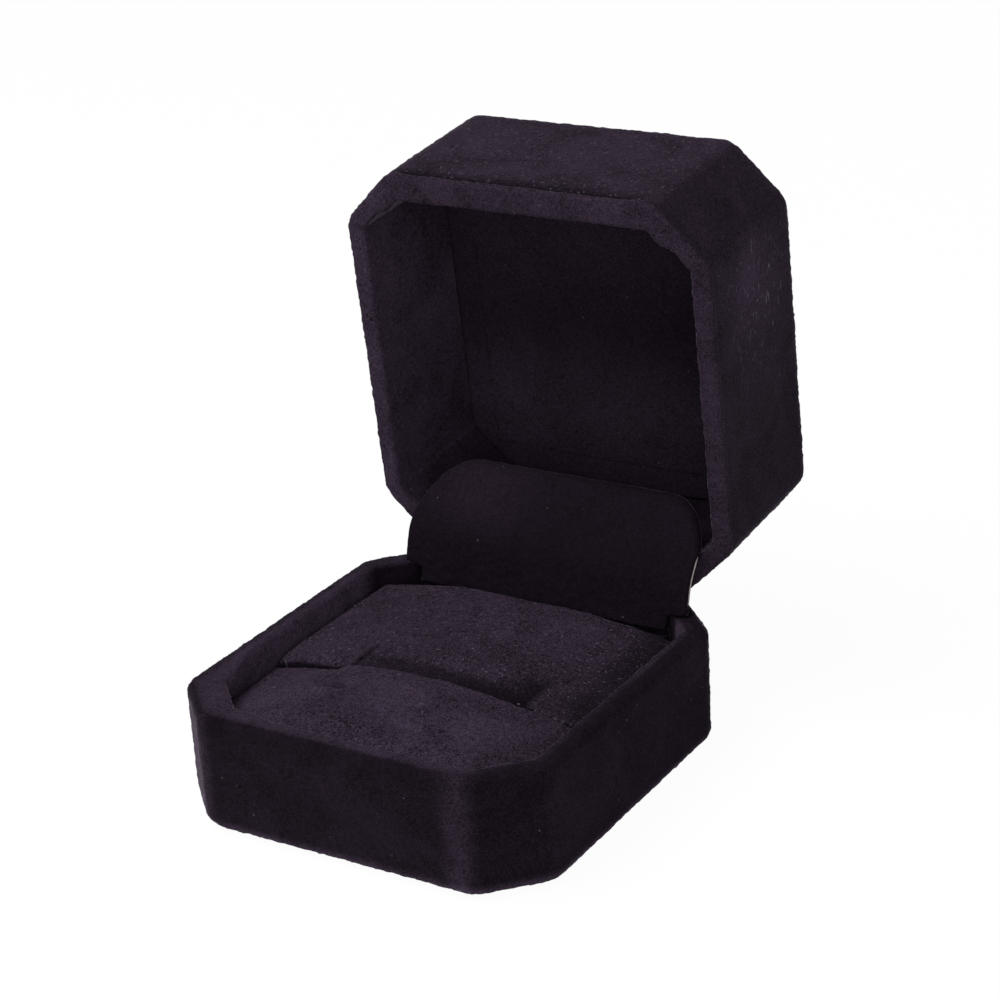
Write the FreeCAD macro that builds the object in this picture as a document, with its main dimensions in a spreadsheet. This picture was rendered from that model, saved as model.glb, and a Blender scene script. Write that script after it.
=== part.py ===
import FreeCAD, Part
import math
import os
import Sketcher

# Octagonal velvet ring box, lid open. Millimetres. Origin on the floor under the middle of the base,
# X to the right, Y to the rear, Z up. The lid is drawn shut and then turned open about its hinge.

V = FreeCAD.Vector
os.makedirs("parts", exist_ok=True)
doc = FreeCAD.newDocument("RingBox")
sheet = doc.addObject("Spreadsheet::Sheet", "Sizes")

SIZES = [
    # outside form
    ("box_width", 56.0),
    ("box_depth", 57.6),
    ("corner_cut", 7.7),
    ("base_corner_round", 1.2),
    ("lid_corner_round", 0.6),
    ("base_rim", 17.0),
    ("lid_height", 24.6),
    ("rim_gap", 0.4),
    ("rim_round", 1.3),
    ("foot_round", 1.8),
    ("lid_top_round", 1.8),
    # walls
    ("velvet", 0.8),
    ("shell_wall", 1.6),
    ("shell_floor", 1.6),
    ("felt_thick", 0.5),
    ("foot_board_thick", 0.6),
    ("foot_play", 0.2),
    ("insert_board_thick", 1.0),
    ("lining_board_thick", 1.0),
    ("lining_velvet", 0.8),
    ("board_play", 0.3),
    # hinge
    ("lid_open_angle", 84.5),
    ("hinge_inset", 0.3),
    ("hinge_rise", 0.7),
    ("hinge_side_gap", 4.0),
    ("spring_bay", 6.4),
    ("knuckle_gap", 0.3),
    ("leaf_thick", 0.5),
    ("leaf_leg", 9.0),
    ("notch_play", 0.35),
    ("pin_diameter", 1.2),
    ("pin_play", 0.04),
    ("pin_end_play", 0.3),
    ("pin_head", 1.7),
    ("pin_head_thick", 0.4),
    ("rivet_diameter", 1.6),
    ("rivet_play", 0.05),
    ("rivet_head", 2.8),
    ("rivet_head_thick", 0.6),
    ("rivet_end_gap", 5.0),
    ("rivet_drop", 6.0),
    ("spring_wire", 0.4),
    ("spring_play", 0.1),
    ("spring_pitch", 0.85),
    ("spring_turns", 4.0),
    ("spring_bend", 0.8),
    ("spring_leg", 3.0),
    ("spring_lid_play", 0.3),
    # ring pad
    ("pad_gap", 0.6),
    ("pad_skin", 0.6),
    ("slit_place", 6.6),
    ("slit_width", 0.6),
    ("front_crest_rise", 0.1),
    ("front_edge_drop", 2.8),
    ("front_roll", 3.2),
    ("rear_crest_drop", 0.4),
    ("rear_edge_drop", 2.4),
    ("rear_roll", 2.2),
    ("pad_edge_round", 1.6),
    ("lip_round", 0.9),
    ("tongue_width", 26.0),
    ("tongue_offset", 2.0),
    ("tongue_length", 6.8),
    ("tongue_drop", 1.8),
    ("tongue_cut_depth", 8.0),
    # flap
    ("flap_stand_off", 3.6),
    ("flap_crease_drop", 2.2),
    ("flap_card_thick", 0.7),
    ("flap_velvet", 0.5),
    ("flap_low_angle", 16.0),
    ("flap_high_angle", 46.0),
    ("flap_low_length", 5.5),
    ("flap_bend_radius", 8.0),
    ("flap_high_length", 9.4),
    ("flap_ear", 2.9),
    ("flap_offset", 1.1),
    ("flap_tab_gap", 1.4),
    ("flap_tab_rise", 1.5),
    ("flap_corner", 7.2),
    ("anchor_gap", 0.9),
    ("anchor_play", 0.5),
]
for row, (alias, number) in enumerate(SIZES, start=1):
    sheet.set("A%d" % row, alias)
    sheet.set("B%d" % row, str(number))
    sheet.setAlias("B%d" % row, alias)
doc.recompute()


def S(alias):
    return "Sizes." + alias


def value(expression):
    found = sheet.evalExpression(expression)
    return float(found.Value) if hasattr(found, "Value") else float(found)


HALF_W = "(Sizes.box_width / 2)"
HALF_D = "(Sizes.box_depth / 2)"
WALL = "(2 * Sizes.velvet + Sizes.shell_wall)"
SHELL_FOOT = "(Sizes.felt_thick + Sizes.foot_board_thick)"
VELVET_FOOT = "(" + SHELL_FOOT + " - Sizes.velvet)"
FLOOR = "(" + SHELL_FOOT + " + Sizes.shell_floor)"
PAD_FOOT = "(" + FLOOR + " + Sizes.insert_board_thick)"
RIM = "Sizes.base_rim"
SHELL_RIM = "(Sizes.base_rim - Sizes.velvet)"
LID_RIM = "(Sizes.base_rim + Sizes.rim_gap)"
LID_SHELL_RIM = "(" + LID_RIM + " + Sizes.velvet)"
LID_TOP = "(" + LID_RIM + " + Sizes.lid_height)"
LID_SHELL_TOP = "(" + LID_TOP + " - Sizes.velvet)"
LID_CEILING = "(" + LID_SHELL_TOP + " - Sizes.shell_floor)"
HINGE_Y = "(" + HALF_D + " - Sizes.hinge_inset)"
HINGE_Z = "(Sizes.base_rim + Sizes.hinge_rise)"
BORE_R = "(Sizes.pin_diameter / 2 + Sizes.pin_play)"
BARREL_R = "(" + BORE_R + " + Sizes.leaf_thick)"
WALL_Y = "(" + HALF_D + " - " + WALL + ")"
CORNER = "((" + HALF_W + " + " + HALF_D + " - Sizes.corner_cut) / sqrt(2))"
INNER_CUT = "((" + CORNER + " - " + WALL + ") * sqrt(2))"
HINGE_HALF = "(" + INNER_CUT + " - " + WALL_Y + " - Sizes.hinge_side_gap)"
RIVET_X = "(" + HINGE_HALF + " - Sizes.rivet_end_gap)"
KNUCKLE = "((" + HINGE_HALF + " - Sizes.spring_bay / 2 - Sizes.knuckle_gap) / 2)"
OUTER_KNUCKLE = "(Sizes.spring_bay / 2 + " + KNUCKLE + " + Sizes.knuckle_gap)"
FLAP_THICK = "(Sizes.flap_card_thick + Sizes.flap_velvet)"
FLAP_Y = "(" + WALL_Y + " - Sizes.flap_stand_off)"
FLAP_Z = "(Sizes.base_rim - Sizes.flap_crease_drop)"
HALF_FLAP = FLAP_THICK + " / 2"
TAB_HALF = "(" + INNER_CUT + " - " + FLAP_Y + " - " + HALF_FLAP + " - Sizes.flap_offset - Sizes.flap_tab_gap)"
TAB_LEFT = "(Sizes.flap_offset - " + TAB_HALF + ")"
TAB_RIGHT = "(Sizes.flap_offset + " + TAB_HALF + ")"


def plane_of(body, role):
    return [plane for plane in body.Origin.OriginFeatures if plane.Role == role][0]


def new_sketch(body, name, role, away=None):
    sketch = body.newObject("Sketcher::SketchObject", name)
    sketch.AttachmentSupport = (plane_of(body, role), [""])
    sketch.MapMode = "FlatFace"
    if away is not None:
        sketch.setExpression("AttachmentOffset.Base.z", away)
    return sketch


def bind(sketch, constraint, name, expression):
    index = sketch.addConstraint(constraint)
    sketch.renameConstraint(index, name)
    sketch.setExpression("Constraints." + name, expression)


def rounded_octagon(body, name, inset, radius, away=None):
    """The box outline drawn in by an inset, starting at the middle of the front."""
    sketch = new_sketch(body, name, "XY_Plane", away)
    make = Sketcher.Constraint
    walls = []
    for angle, reach in ((-90, HALF_D), (-45, CORNER), (0, HALF_W), (45, CORNER),
                         (90, HALF_D), (135, CORNER), (180, HALF_W), (225, CORNER)):
        walls.append((math.radians(angle), value(reach + " - (" + inset + ")")))
    r = value(radius)
    reach_front = walls[0][1]
    last = V(0, -reach_front, 0)
    for i in range(8):
        a, da = walls[i]
        b, db = walls[(i + 1) % 8]
        spread = math.sin(b - a)
        corner = V((da * math.sin(b) - db * math.sin(a)) / spread,
                   (db * math.cos(a) - da * math.cos(b)) / spread, 0)
        tangent = r * math.tan(math.pi / 8)
        leave = corner - V(-math.sin(a), math.cos(a), 0) * tangent
        middle = leave - V(math.cos(a), math.sin(a), 0) * r
        sketch.addGeometry(Part.LineSegment(last, leave))
        sketch.addGeometry(Part.ArcOfCircle(Part.Circle(middle, V(0, 0, 1), r), a, a + math.pi / 4))
        last = corner + V(-math.sin(b), math.cos(b), 0) * tangent
    sketch.addGeometry(Part.LineSegment(last, V(0, -reach_front, 0)))
    for i in range(16):
        sketch.addConstraint(make("Tangent", i, 2, i + 1, 1))
    sketch.addConstraint(make("Coincident", 16, 2, 0, 1))
    sketch.addConstraint(make("PointOnObject", 0, 1, -2))
    for line in (0, 8, 16):
        sketch.addConstraint(make("Horizontal", line))
    for line in (4, 12):
        sketch.addConstraint(make("Vertical", line))
    sketch.addConstraint(make("Perpendicular", 2, 6))
    sketch.addConstraint(make("Parallel", 2, 10))
    sketch.addConstraint(make("Parallel", 6, 14))
    for arc in range(3, 16, 2):
        sketch.addConstraint(make("Equal", 1, arc))
    bind(sketch, make("Radius", 1, r), "corner_radius", radius)
    sketch.addConstraint(make("Angle", 0, 2, math.pi / 4))
    for line, label, reach in ((0, "front", HALF_D), (4, "right", HALF_W), (8, "rear", HALF_D),
                               (12, "left", HALF_W), (2, "cut_front_right", CORNER),
                               (6, "cut_rear_right", CORNER), (10, "cut_rear_left", CORNER),
                               (14, "cut_front_left", CORNER)):
        expression = reach + " - (" + inset + ")"
        bind(sketch, make("Distance", -1, 1, line, value(expression)), label, expression)
    return sketch


def draw(sketch, points, arcs=None):
    """A closed outline through named points. arcs: start index -> (radius, +1 left or -1 right turn)."""
    make = Sketcher.Constraint
    arcs = arcs or {}
    first = sketch.GeometryCount
    spots = [V(value(x), value(y), 0) for _, x, y in points]
    count = len(spots)
    ends = []
    for i in range(count):
        a = spots[i]
        b = spots[(i + 1) % count]
        if i in arcs:
            radius, turn = value(arcs[i][0]), arcs[i][1]
            chord = b - a
            left = V(-chord.y, chord.x, 0).normalize()
            middle = (a + b) * 0.5 + left * (turn * math.sqrt(max(radius ** 2 - chord.Length ** 2 / 4, 0)))
            begin, end = (a, b) if turn > 0 else (b, a)
            t0 = math.atan2(begin.y - middle.y, begin.x - middle.x)
            t1 = math.atan2(end.y - middle.y, end.x - middle.x)
            if t1 < t0:
                t1 += 2 * math.pi
            sketch.addGeometry(Part.ArcOfCircle(Part.Circle(middle, V(0, 0, 1), radius), t0, t1))
            ends.append((1, 2) if turn > 0 else (2, 1))
        else:
            sketch.addGeometry(Part.LineSegment(a, b))
            ends.append((1, 2))
    for i in range(count):
        j = (i + 1) % count
        sketch.addConstraint(make("Coincident", first + i, ends[i][1], first + j, ends[j][0]))
    for i, (label, x, y) in enumerate(points):
        bind(sketch, make("DistanceX", first + i, ends[i][0], spots[i].x), label + "_x", x)
        bind(sketch, make("DistanceY", first + i, ends[i][0], spots[i].y), label + "_y", y)
    for i in sorted(arcs):
        bind(sketch, make("Radius", first + i, value(arcs[i][0])), points[i][0] + "_radius", arcs[i][0])
    return sketch


def circle(sketch, label, x, y, radius):
    make = Sketcher.Constraint
    index = sketch.addGeometry(Part.Circle(V(value(x), value(y), 0), V(0, 0, 1), value(radius)))
    bind(sketch, make("DistanceX", index, 3, value(x)), label + "_x", x)
    bind(sketch, make("DistanceY", index, 3, value(y)), label + "_y", y)
    bind(sketch, make("Radius", index, value(radius)), label + "_radius", radius)
    return sketch


def box_points(label, x0, x1, y0, y1):
    return [(label + "_a", x0, y0), (label + "_b", x1, y0), (label + "_c", x1, y1), (label + "_d", x0, y1)]


def new_body(label):
    body = doc.addObject("PartDesign::Body", label)
    body.Label = label
    return body


def pad(body, name, sketch, length, middle=False, back=False):
    feature = body.newObject("PartDesign::Pad", name)
    feature.Profile = sketch
    feature.setExpression("Length", length)
    feature.Midplane = middle
    feature.Reversed = back
    doc.recompute()
    return feature


def pocket(body, name, sketch, length=None, middle=False, back=False):
    feature = body.newObject("PartDesign::Pocket", name)
    feature.Profile = sketch
    if length is None:
        feature.Type = "ThroughAll"
    else:
        feature.setExpression("Length", length)
    feature.Midplane = middle
    feature.Reversed = back
    doc.recompute()
    return feature


def ring(body, name, corner, points, arcs):
    """A wall section swept once round the box. Section points: inset from the outer face, height."""
    path = rounded_octagon(body, name + "_path", WALL, corner)
    section = new_sketch(body, name + "_section", "YZ_Plane")
    draw(section, [(label, "(" + inset + ") - " + HALF_D, height) for label, inset, height in points], arcs)
    feature = body.newObject("PartDesign::AdditivePipe", name)
    feature.Profile = section
    feature.Spine = (path, [])
    feature.Mode = "Standard"
    doc.recompute()
    return feature


def slab(body, name, inset, corner, low, high):
    return pad(body, name, rounded_octagon(body, name + "_outline", inset, corner, low), high + " - " + low)


def hinge_notch(body, name, height, depth, up):
    half = "(" + HINGE_HALF + " + Sizes.pin_end_play + Sizes.pin_head_thick + Sizes.notch_play)"
    sketch = new_sketch(body, name + "_outline", "XY_Plane", height)
    draw(sketch, box_points("notch", "-" + half, half, WALL_Y + " - Sizes.leaf_thick",
                            HALF_D + " + Sizes.velvet"))
    return pocket(body, name, sketch, depth, back=up)


def rivet_holes(body, name, height, reach):
    sketch = new_sketch(body, name + "_outline", "XZ_Plane")
    for label, side in (("left", "-"), ("right", "")):
        circle(sketch, label, side + RIVET_X, height, "Sizes.rivet_diameter / 2 + Sizes.rivet_play")
    return pocket(body, name, sketch, reach)


RIVET_LOW = HINGE_Z + " - Sizes.rivet_drop"
RIVET_HIGH = HINGE_Z + " + Sizes.rivet_drop"
SHELL_FACE = HALF_D + " - Sizes.velvet"
FOOT_ARC = VELVET_FOOT + " + Sizes.foot_round"
TOP_ARC = LID_TOP + " - Sizes.lid_top_round"

# Base: moulded tray, velvet wrap, foot.
base_shell = new_body("base_shell")
ring(base_shell, "base_wall", S("base_corner_round"), [
    ("foot_arc", S("velvet"), FOOT_ARC),
    ("rim_out", S("velvet"), SHELL_RIM),
    ("rim_in", WALL + " - Sizes.velvet", SHELL_RIM),
    ("floor_in", WALL + " - Sizes.velvet", FLOOR),
    ("floor_end", WALL, FLOOR),
    ("foot_end", WALL, SHELL_FOOT),
    ("foot_out", S("foot_round"), SHELL_FOOT),
], {6: ("Sizes.foot_round - Sizes.velvet", -1)})
slab(base_shell, "base_floor", WALL + " - Sizes.velvet", "Sizes.base_corner_round + Sizes.velvet",
     SHELL_FOOT, FLOOR)
rivet_holes(base_shell, "base_shell_holes", RIVET_LOW, SHELL_FACE)

base_velvet = new_body("base_velvet")
ring(base_velvet, "base_wrap", S("base_corner_round"), [
    ("foot_arc", "0", FOOT_ARC),
    ("rim_low", "0", RIM + " - Sizes.rim_round"),
    ("rim_out", S("rim_round"), RIM),
    ("rim_in", WALL + " - Sizes.rim_round", RIM),
    ("rim_in_low", WALL, RIM + " - Sizes.rim_round"),
    ("inner_end", WALL, FLOOR),
    ("inner_back", WALL + " - Sizes.velvet", FLOOR),
    ("shell_in", WALL + " - Sizes.velvet", SHELL_RIM),
    ("shell_out", S("velvet"), SHELL_RIM),
    ("shell_arc", S("velvet"), FOOT_ARC),
    ("shell_foot", S("foot_round"), SHELL_FOOT),
    ("turn_top", WALL, SHELL_FOOT),
    ("turn_low", WALL, VELVET_FOOT),
    ("foot_out", S("foot_round"), VELVET_FOOT),
], {1: (S("rim_round"), -1), 3: (S("rim_round"), -1), 9: ("Sizes.foot_round - Sizes.velvet", 1),
    13: (S("foot_round"), -1)})
hinge_notch(base_velvet, "base_velvet_notch", RIM, S("velvet"), False)
rivet_holes(base_velvet, "base_velvet_holes", RIVET_LOW, SHELL_FACE)

foot_board = new_body("foot_board")
slab(foot_board, "board", WALL + " + Sizes.foot_play", S("base_corner_round"), S("felt_thick"), SHELL_FOOT)
foot_felt = new_body("foot_felt")
slab(foot_felt, "felt", WALL + " + Sizes.foot_play", S("base_corner_round"), "0", S("felt_thick"))
insert_board = new_body("insert_board")
slab(insert_board, "insert", WALL + " + Sizes.board_play", S("base_corner_round"), FLOOR, PAD_FOOT)

# Lid, drawn shut: moulded tray, velvet wrap, lining board and lining velvet.
lid_shell = new_body("lid_shell")
ring(lid_shell, "lid_wall", S("lid_corner_round"), [
    ("rim_out", S("velvet"), LID_SHELL_RIM),
    ("top_arc", S("velvet"), TOP_ARC),
    ("top_out", S("lid_top_round"), LID_SHELL_TOP),
    ("top_end", WALL, LID_SHELL_TOP),
    ("ceiling_end", WALL, LID_CEILING),
    ("ceiling_in", WALL + " - Sizes.velvet", LID_CEILING),
    ("rim_in", WALL + " - Sizes.velvet", LID_SHELL_RIM),
], {1: ("Sizes.lid_top_round - Sizes.velvet", -1)})
slab(lid_shell, "lid_ceiling", WALL + " - Sizes.velvet", "Sizes.lid_corner_round + Sizes.velvet",
     LID_CEILING, LID_SHELL_TOP)
LID_NOTCH = HINGE_Z + " + " + BARREL_R + " + Sizes.notch_play - " + LID_RIM
hinge_notch(lid_shell, "lid_shell_notch", LID_RIM, LID_NOTCH, True)
rivet_holes(lid_shell, "lid_shell_holes", RIVET_HIGH, SHELL_FACE)

lid_velvet = new_body("lid_velvet")
ring(lid_velvet, "lid_wrap", S("lid_corner_round"), [
    ("rim_arc", "0", LID_RIM + " + Sizes.rim_round"),
    ("top_arc", "0", TOP_ARC),
    ("top_out", S("lid_top_round"), LID_TOP),
    ("top_end", WALL, LID_TOP),
    ("under_end", WALL, LID_SHELL_TOP),
    ("under_out", S("lid_top_round"), LID_SHELL_TOP),
    ("shell_arc", S("velvet"), TOP_ARC),
    ("shell_out", S("velvet"), LID_SHELL_RIM),
    ("shell_in", WALL + " - Sizes.velvet", LID_SHELL_RIM),
    ("inner_back", WALL + " - Sizes.velvet", LID_CEILING),
    ("inner_end", WALL, LID_CEILING),
    ("rim_in_high", WALL, LID_RIM + " + Sizes.rim_round"),
    ("rim_in", WALL + " - Sizes.rim_round", LID_RIM),
    ("rim_out", S("rim_round"), LID_RIM),
], {1: (S("lid_top_round"), -1), 5: ("Sizes.lid_top_round - Sizes.velvet", 1), 11: (S("rim_round"), -1),
    13: (S("rim_round"), -1)})
slab(lid_velvet, "lid_top_velvet", WALL + " - Sizes.velvet", "Sizes.lid_corner_round + Sizes.velvet",
     LID_SHELL_TOP, LID_TOP)
hinge_notch(lid_velvet, "lid_velvet_notch", LID_RIM, LID_NOTCH, True)
rivet_holes(lid_velvet, "lid_velvet_holes", RIVET_HIGH, SHELL_FACE)

LINING_TOP = LID_CEILING + " - Sizes.lining_board_thick"
lid_lining_board = new_body("lid_lining_board")
slab(lid_lining_board, "lining_board", WALL + " + Sizes.board_play", S("lid_corner_round"),
     "(" + LINING_TOP + ")", LID_CEILING)
lid_lining_velvet = new_body("lid_lining_velvet")
slab(lid_lining_velvet, "lining_face", WALL + " + Sizes.board_play", S("lid_corner_round"),
     "(" + LINING_TOP + " - Sizes.lining_velvet)", "(" + LINING_TOP + ")")


def hinge_leaf(label, up, inner):
    """Stamped leaf: tail over the rim, leg down the inside wall, two curled knuckles on the pin."""
    body = new_body(label)
    sign = "+" if up else "-"
    tail_out = HINGE_Z + " " + sign + " " + BARREL_R
    tail_in = HINGE_Z + " " + sign + " " + BORE_R
    leg_end = tail_out + " " + sign + " Sizes.leaf_leg"
    leg_y = WALL_Y + " - Sizes.leaf_thick"
    plate = new_sketch(body, label + "_plate_outline", "YZ_Plane")
    corners = [("axis_out", HINGE_Y, tail_out), ("wall_top", WALL_Y, tail_out), ("wall_end", WALL_Y, leg_end),
               ("face_end", leg_y, leg_end), ("face_top", leg_y, tail_in), ("axis_in", HINGE_Y, tail_in)]
    pad(body, label + "_plate", draw(plate, corners), "2 * " + HINGE_HALF, middle=True)
    clear = "(" + OUTER_KNUCKLE + (" - Sizes.knuckle_gap)" if inner else ")")
    free = new_sketch(body, label + "_relief_outline", "XY_Plane", HINGE_Z)
    rear = HINGE_Y + " + Sizes.leaf_thick"
    near = HINGE_Y + " - " + BARREL_R + " - Sizes.notch_play"
    half = "(" + HINGE_HALF + " + Sizes.leaf_thick)"
    if inner:
        for side, name in (("", "right"), ("-", "left")):
            draw(free, box_points(name, side + clear, side + half, near, rear))
        draw(free, box_points("bay", "-Sizes.spring_bay / 2", "Sizes.spring_bay / 2",
                              leg_y + " - Sizes.leaf_thick", rear))
    else:
        bay = "Sizes.spring_bay / 2"
        draw(free, [("a", "-" + clear, rear), ("b", "-" + clear, near), ("c", "-" + bay, near),
                    ("d", "-" + bay, leg_y + " - Sizes.leaf_thick"),
                    ("e", bay, leg_y + " - Sizes.leaf_thick"), ("f", bay, near),
                    ("g", clear, near), ("h", clear, rear)])
    pocket(body, label + "_relief", free, BARREL_R + " + 2 * Sizes.spring_bend + Sizes.spring_wire", back=up)
    start = "Sizes.spring_bay / 2" if inner else OUTER_KNUCKLE
    for side, name in ((start, "right"), ("-(" + start + " + " + KNUCKLE + ")", "left")):
        curl = new_sketch(body, label + "_" + name + "_curl", "YZ_Plane", side)
        circle(curl, "outside", HINGE_Y, HINGE_Z, BARREL_R)
        circle(curl, "bore", HINGE_Y, HINGE_Z, BORE_R)
        pad(body, label + "_" + name + "_knuckle", curl, KNUCKLE)
    rivet_holes(body, label + "_holes", RIVET_HIGH if up else RIVET_LOW, HALF_D)
    return body


def rivet_pair(label, height):
    """One rivet turned on its axis, and its mirror image."""
    body = new_body(label + "_right")
    sketch = new_sketch(body, label + "_half", "XY_Plane", height)
    face = WALL_Y + " - Sizes.leaf_thick"
    head = "Sizes.rivet_head / 2"
    thick = "Sizes.rivet_head_thick"
    middle = RIVET_X
    dome = "((" + head + ") ^ 2 + (" + thick + ") ^ 2) / (2 * " + thick + ")"
    draw(sketch, [("tip", middle, face + " - " + thick), ("axis_end", middle, SHELL_FACE),
                  ("shank_end", middle + " + Sizes.rivet_diameter / 2", SHELL_FACE),
                  ("shank_top", middle + " + Sizes.rivet_diameter / 2", face),
                  ("head_edge", middle + " + " + head, face)], {4: (dome, -1)})
    turned = body.newObject("PartDesign::Revolution", label + "_turned")
    turned.Profile = sketch
    turned.ReferenceAxis = (sketch, ["Edge1"])
    turned.Angle = 360
    doc.recompute()
    other = doc.addObject("Part::Mirroring", label + "_left")
    other.Source = body
    other.Normal = V(1, 0, 0)
    pair = doc.addObject("Part::Compound", label)
    pair.Label = label
    pair.Links = [body, other]
    doc.recompute()
    return pair


hinge_leaf_base = hinge_leaf("hinge_leaf_base", False, True)
hinge_leaf_lid = hinge_leaf("hinge_leaf_lid", True, False)
hinge_rivets_base = rivet_pair("hinge_rivets_base", RIVET_LOW)
hinge_rivets_lid = rivet_pair("hinge_rivets_lid", RIVET_HIGH)

PIN_END = "(" + HINGE_HALF + " + Sizes.pin_end_play)"
hinge_pin = new_body("hinge_pin")
pad(hinge_pin, "pin", circle(new_sketch(hinge_pin, "pin_outline", "YZ_Plane"), "pin", HINGE_Y, HINGE_Z,
                             "Sizes.pin_diameter / 2"), "2 * " + PIN_END, middle=True)
for place, name in ((PIN_END, "right"), ("-" + PIN_END + " - Sizes.pin_head_thick", "left")):
    end = new_sketch(hinge_pin, "pin_" + name + "_outline", "YZ_Plane", place)
    pad(hinge_pin, "pin_" + name, circle(end, "head", HINGE_Y, HINGE_Z, "Sizes.pin_head / 2"),
        S("pin_head_thick"))


def tangent_arc(a, direction, b):
    """The arc that leaves a along a direction and ends at b."""
    chord = b - a
    along = V(chord).normalize()
    bend = math.acos(max(-1.0, min(1.0, along.dot(direction))))
    side = (direction - along * along.dot(direction)).normalize()
    return Part.Arc(a, (a + b) * 0.5 + side * (chord.Length / 2 * math.tan(bend / 2)), b).toShape()


def wound_wire():
    """Torsion spring: leg behind the base leaf, turns round the pin, leg behind the lid leaf."""
    wire = value(S("spring_wire"))
    r = value("Sizes.pin_diameter / 2 + Sizes.spring_play + Sizes.spring_wire / 2")
    rise = value(S("spring_pitch")) / (2 * math.pi)
    turns = round(value(S("spring_turns"))) + 0.25
    opened = math.radians(90 - value(S("lid_open_angle")))
    bend = value(S("spring_bend"))
    leg = value(S("spring_leg"))
    reach = value(WALL + " - Sizes.hinge_inset + Sizes.leaf_thick + Sizes.spring_wire / 2")
    axis = V(0, value(HINGE_Y), value(HINGE_Z))
    sweep = turns * 2 * math.pi + opened
    start = -math.pi / 2

    def spot(angle):
        return axis + V(rise * (angle - start - sweep / 2), r * math.cos(angle), r * math.sin(angle))

    def heading(angle):
        return V(rise, -r * math.sin(angle), r * math.cos(angle)).normalize()

    pieces = []
    inward = heading(start)
    coil_in = spot(start)
    run = (reach - bend) / inward.y
    elbow = coil_in - inward * run
    down = V(0, 0, 1)
    turn_in = elbow - inward * bend - down * bend
    pieces.append(Part.LineSegment(turn_in - down * leg, turn_in).toShape())
    pieces.append(tangent_arc(turn_in, down, elbow))
    pieces.append(Part.LineSegment(elbow, coil_in).toShape())
    steps = int(round(turns * 4))
    for i in range(steps):
        a0 = start + sweep * i / steps
        a1 = start + sweep * (i + 1) / steps
        p0, p1, t0, t1 = spot(a0), spot(a1), heading(a0), heading(a1)
        gap = p1 - p0
        both = t0 + t1
        rest = 2 * (1 - t0.dot(t1))
        length = (-gap.dot(both) + math.sqrt(gap.dot(both) ** 2 + rest * gap.dot(gap))) / rest
        meet = (p0 + p1 + (t0 - t1) * length) * 0.5
        pieces.append(tangent_arc(p0, t0, meet))
        joined = ((p1 - t1 * length) - (p0 + t0 * length)).normalize()
        pieces.append(tangent_arc(meet, joined, p1))
    outward = heading(start + sweep)
    coil_out = spot(start + sweep)
    tilt = V(0, -math.sin(start + sweep), math.cos(start + sweep))
    away = V(0, tilt.z, -tilt.y)
    elbow_out = coil_out + outward * ((reach + value(S("spring_lid_play")) - bend) / outward.dot(tilt))
    turn_out = elbow_out + outward * bend + away * bend
    pieces.append(Part.LineSegment(coil_out, elbow_out).toShape())
    pieces.append(tangent_arc(elbow_out, outward, turn_out))
    pieces.append(Part.LineSegment(turn_out, turn_out + away * leg).toShape())
    route = Part.Wire(pieces)
    marks = route.discretize(Distance=wire / 4)
    apart = int(8 * math.pi * r / wire) // 2
    least = min((marks[i] - marks[k]).Length for i in range(len(marks)) for k in range(i + apart, len(marks)))
    print("spring: least gap between turns, mm", round(least - wire, 3))
    ring_face = Part.Wire(Part.Circle(turn_in - down * leg, down, wire / 2).toShape())
    return route.makePipeShell([ring_face], True, False)


hinge_spring = doc.addObject("Part::Feature", "hinge_spring")
hinge_spring.Label = "hinge_spring"
hinge_spring.Shape = wound_wire()

# Ring pad: two foam halves, each under a velvet skin, with the slit between them.


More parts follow.
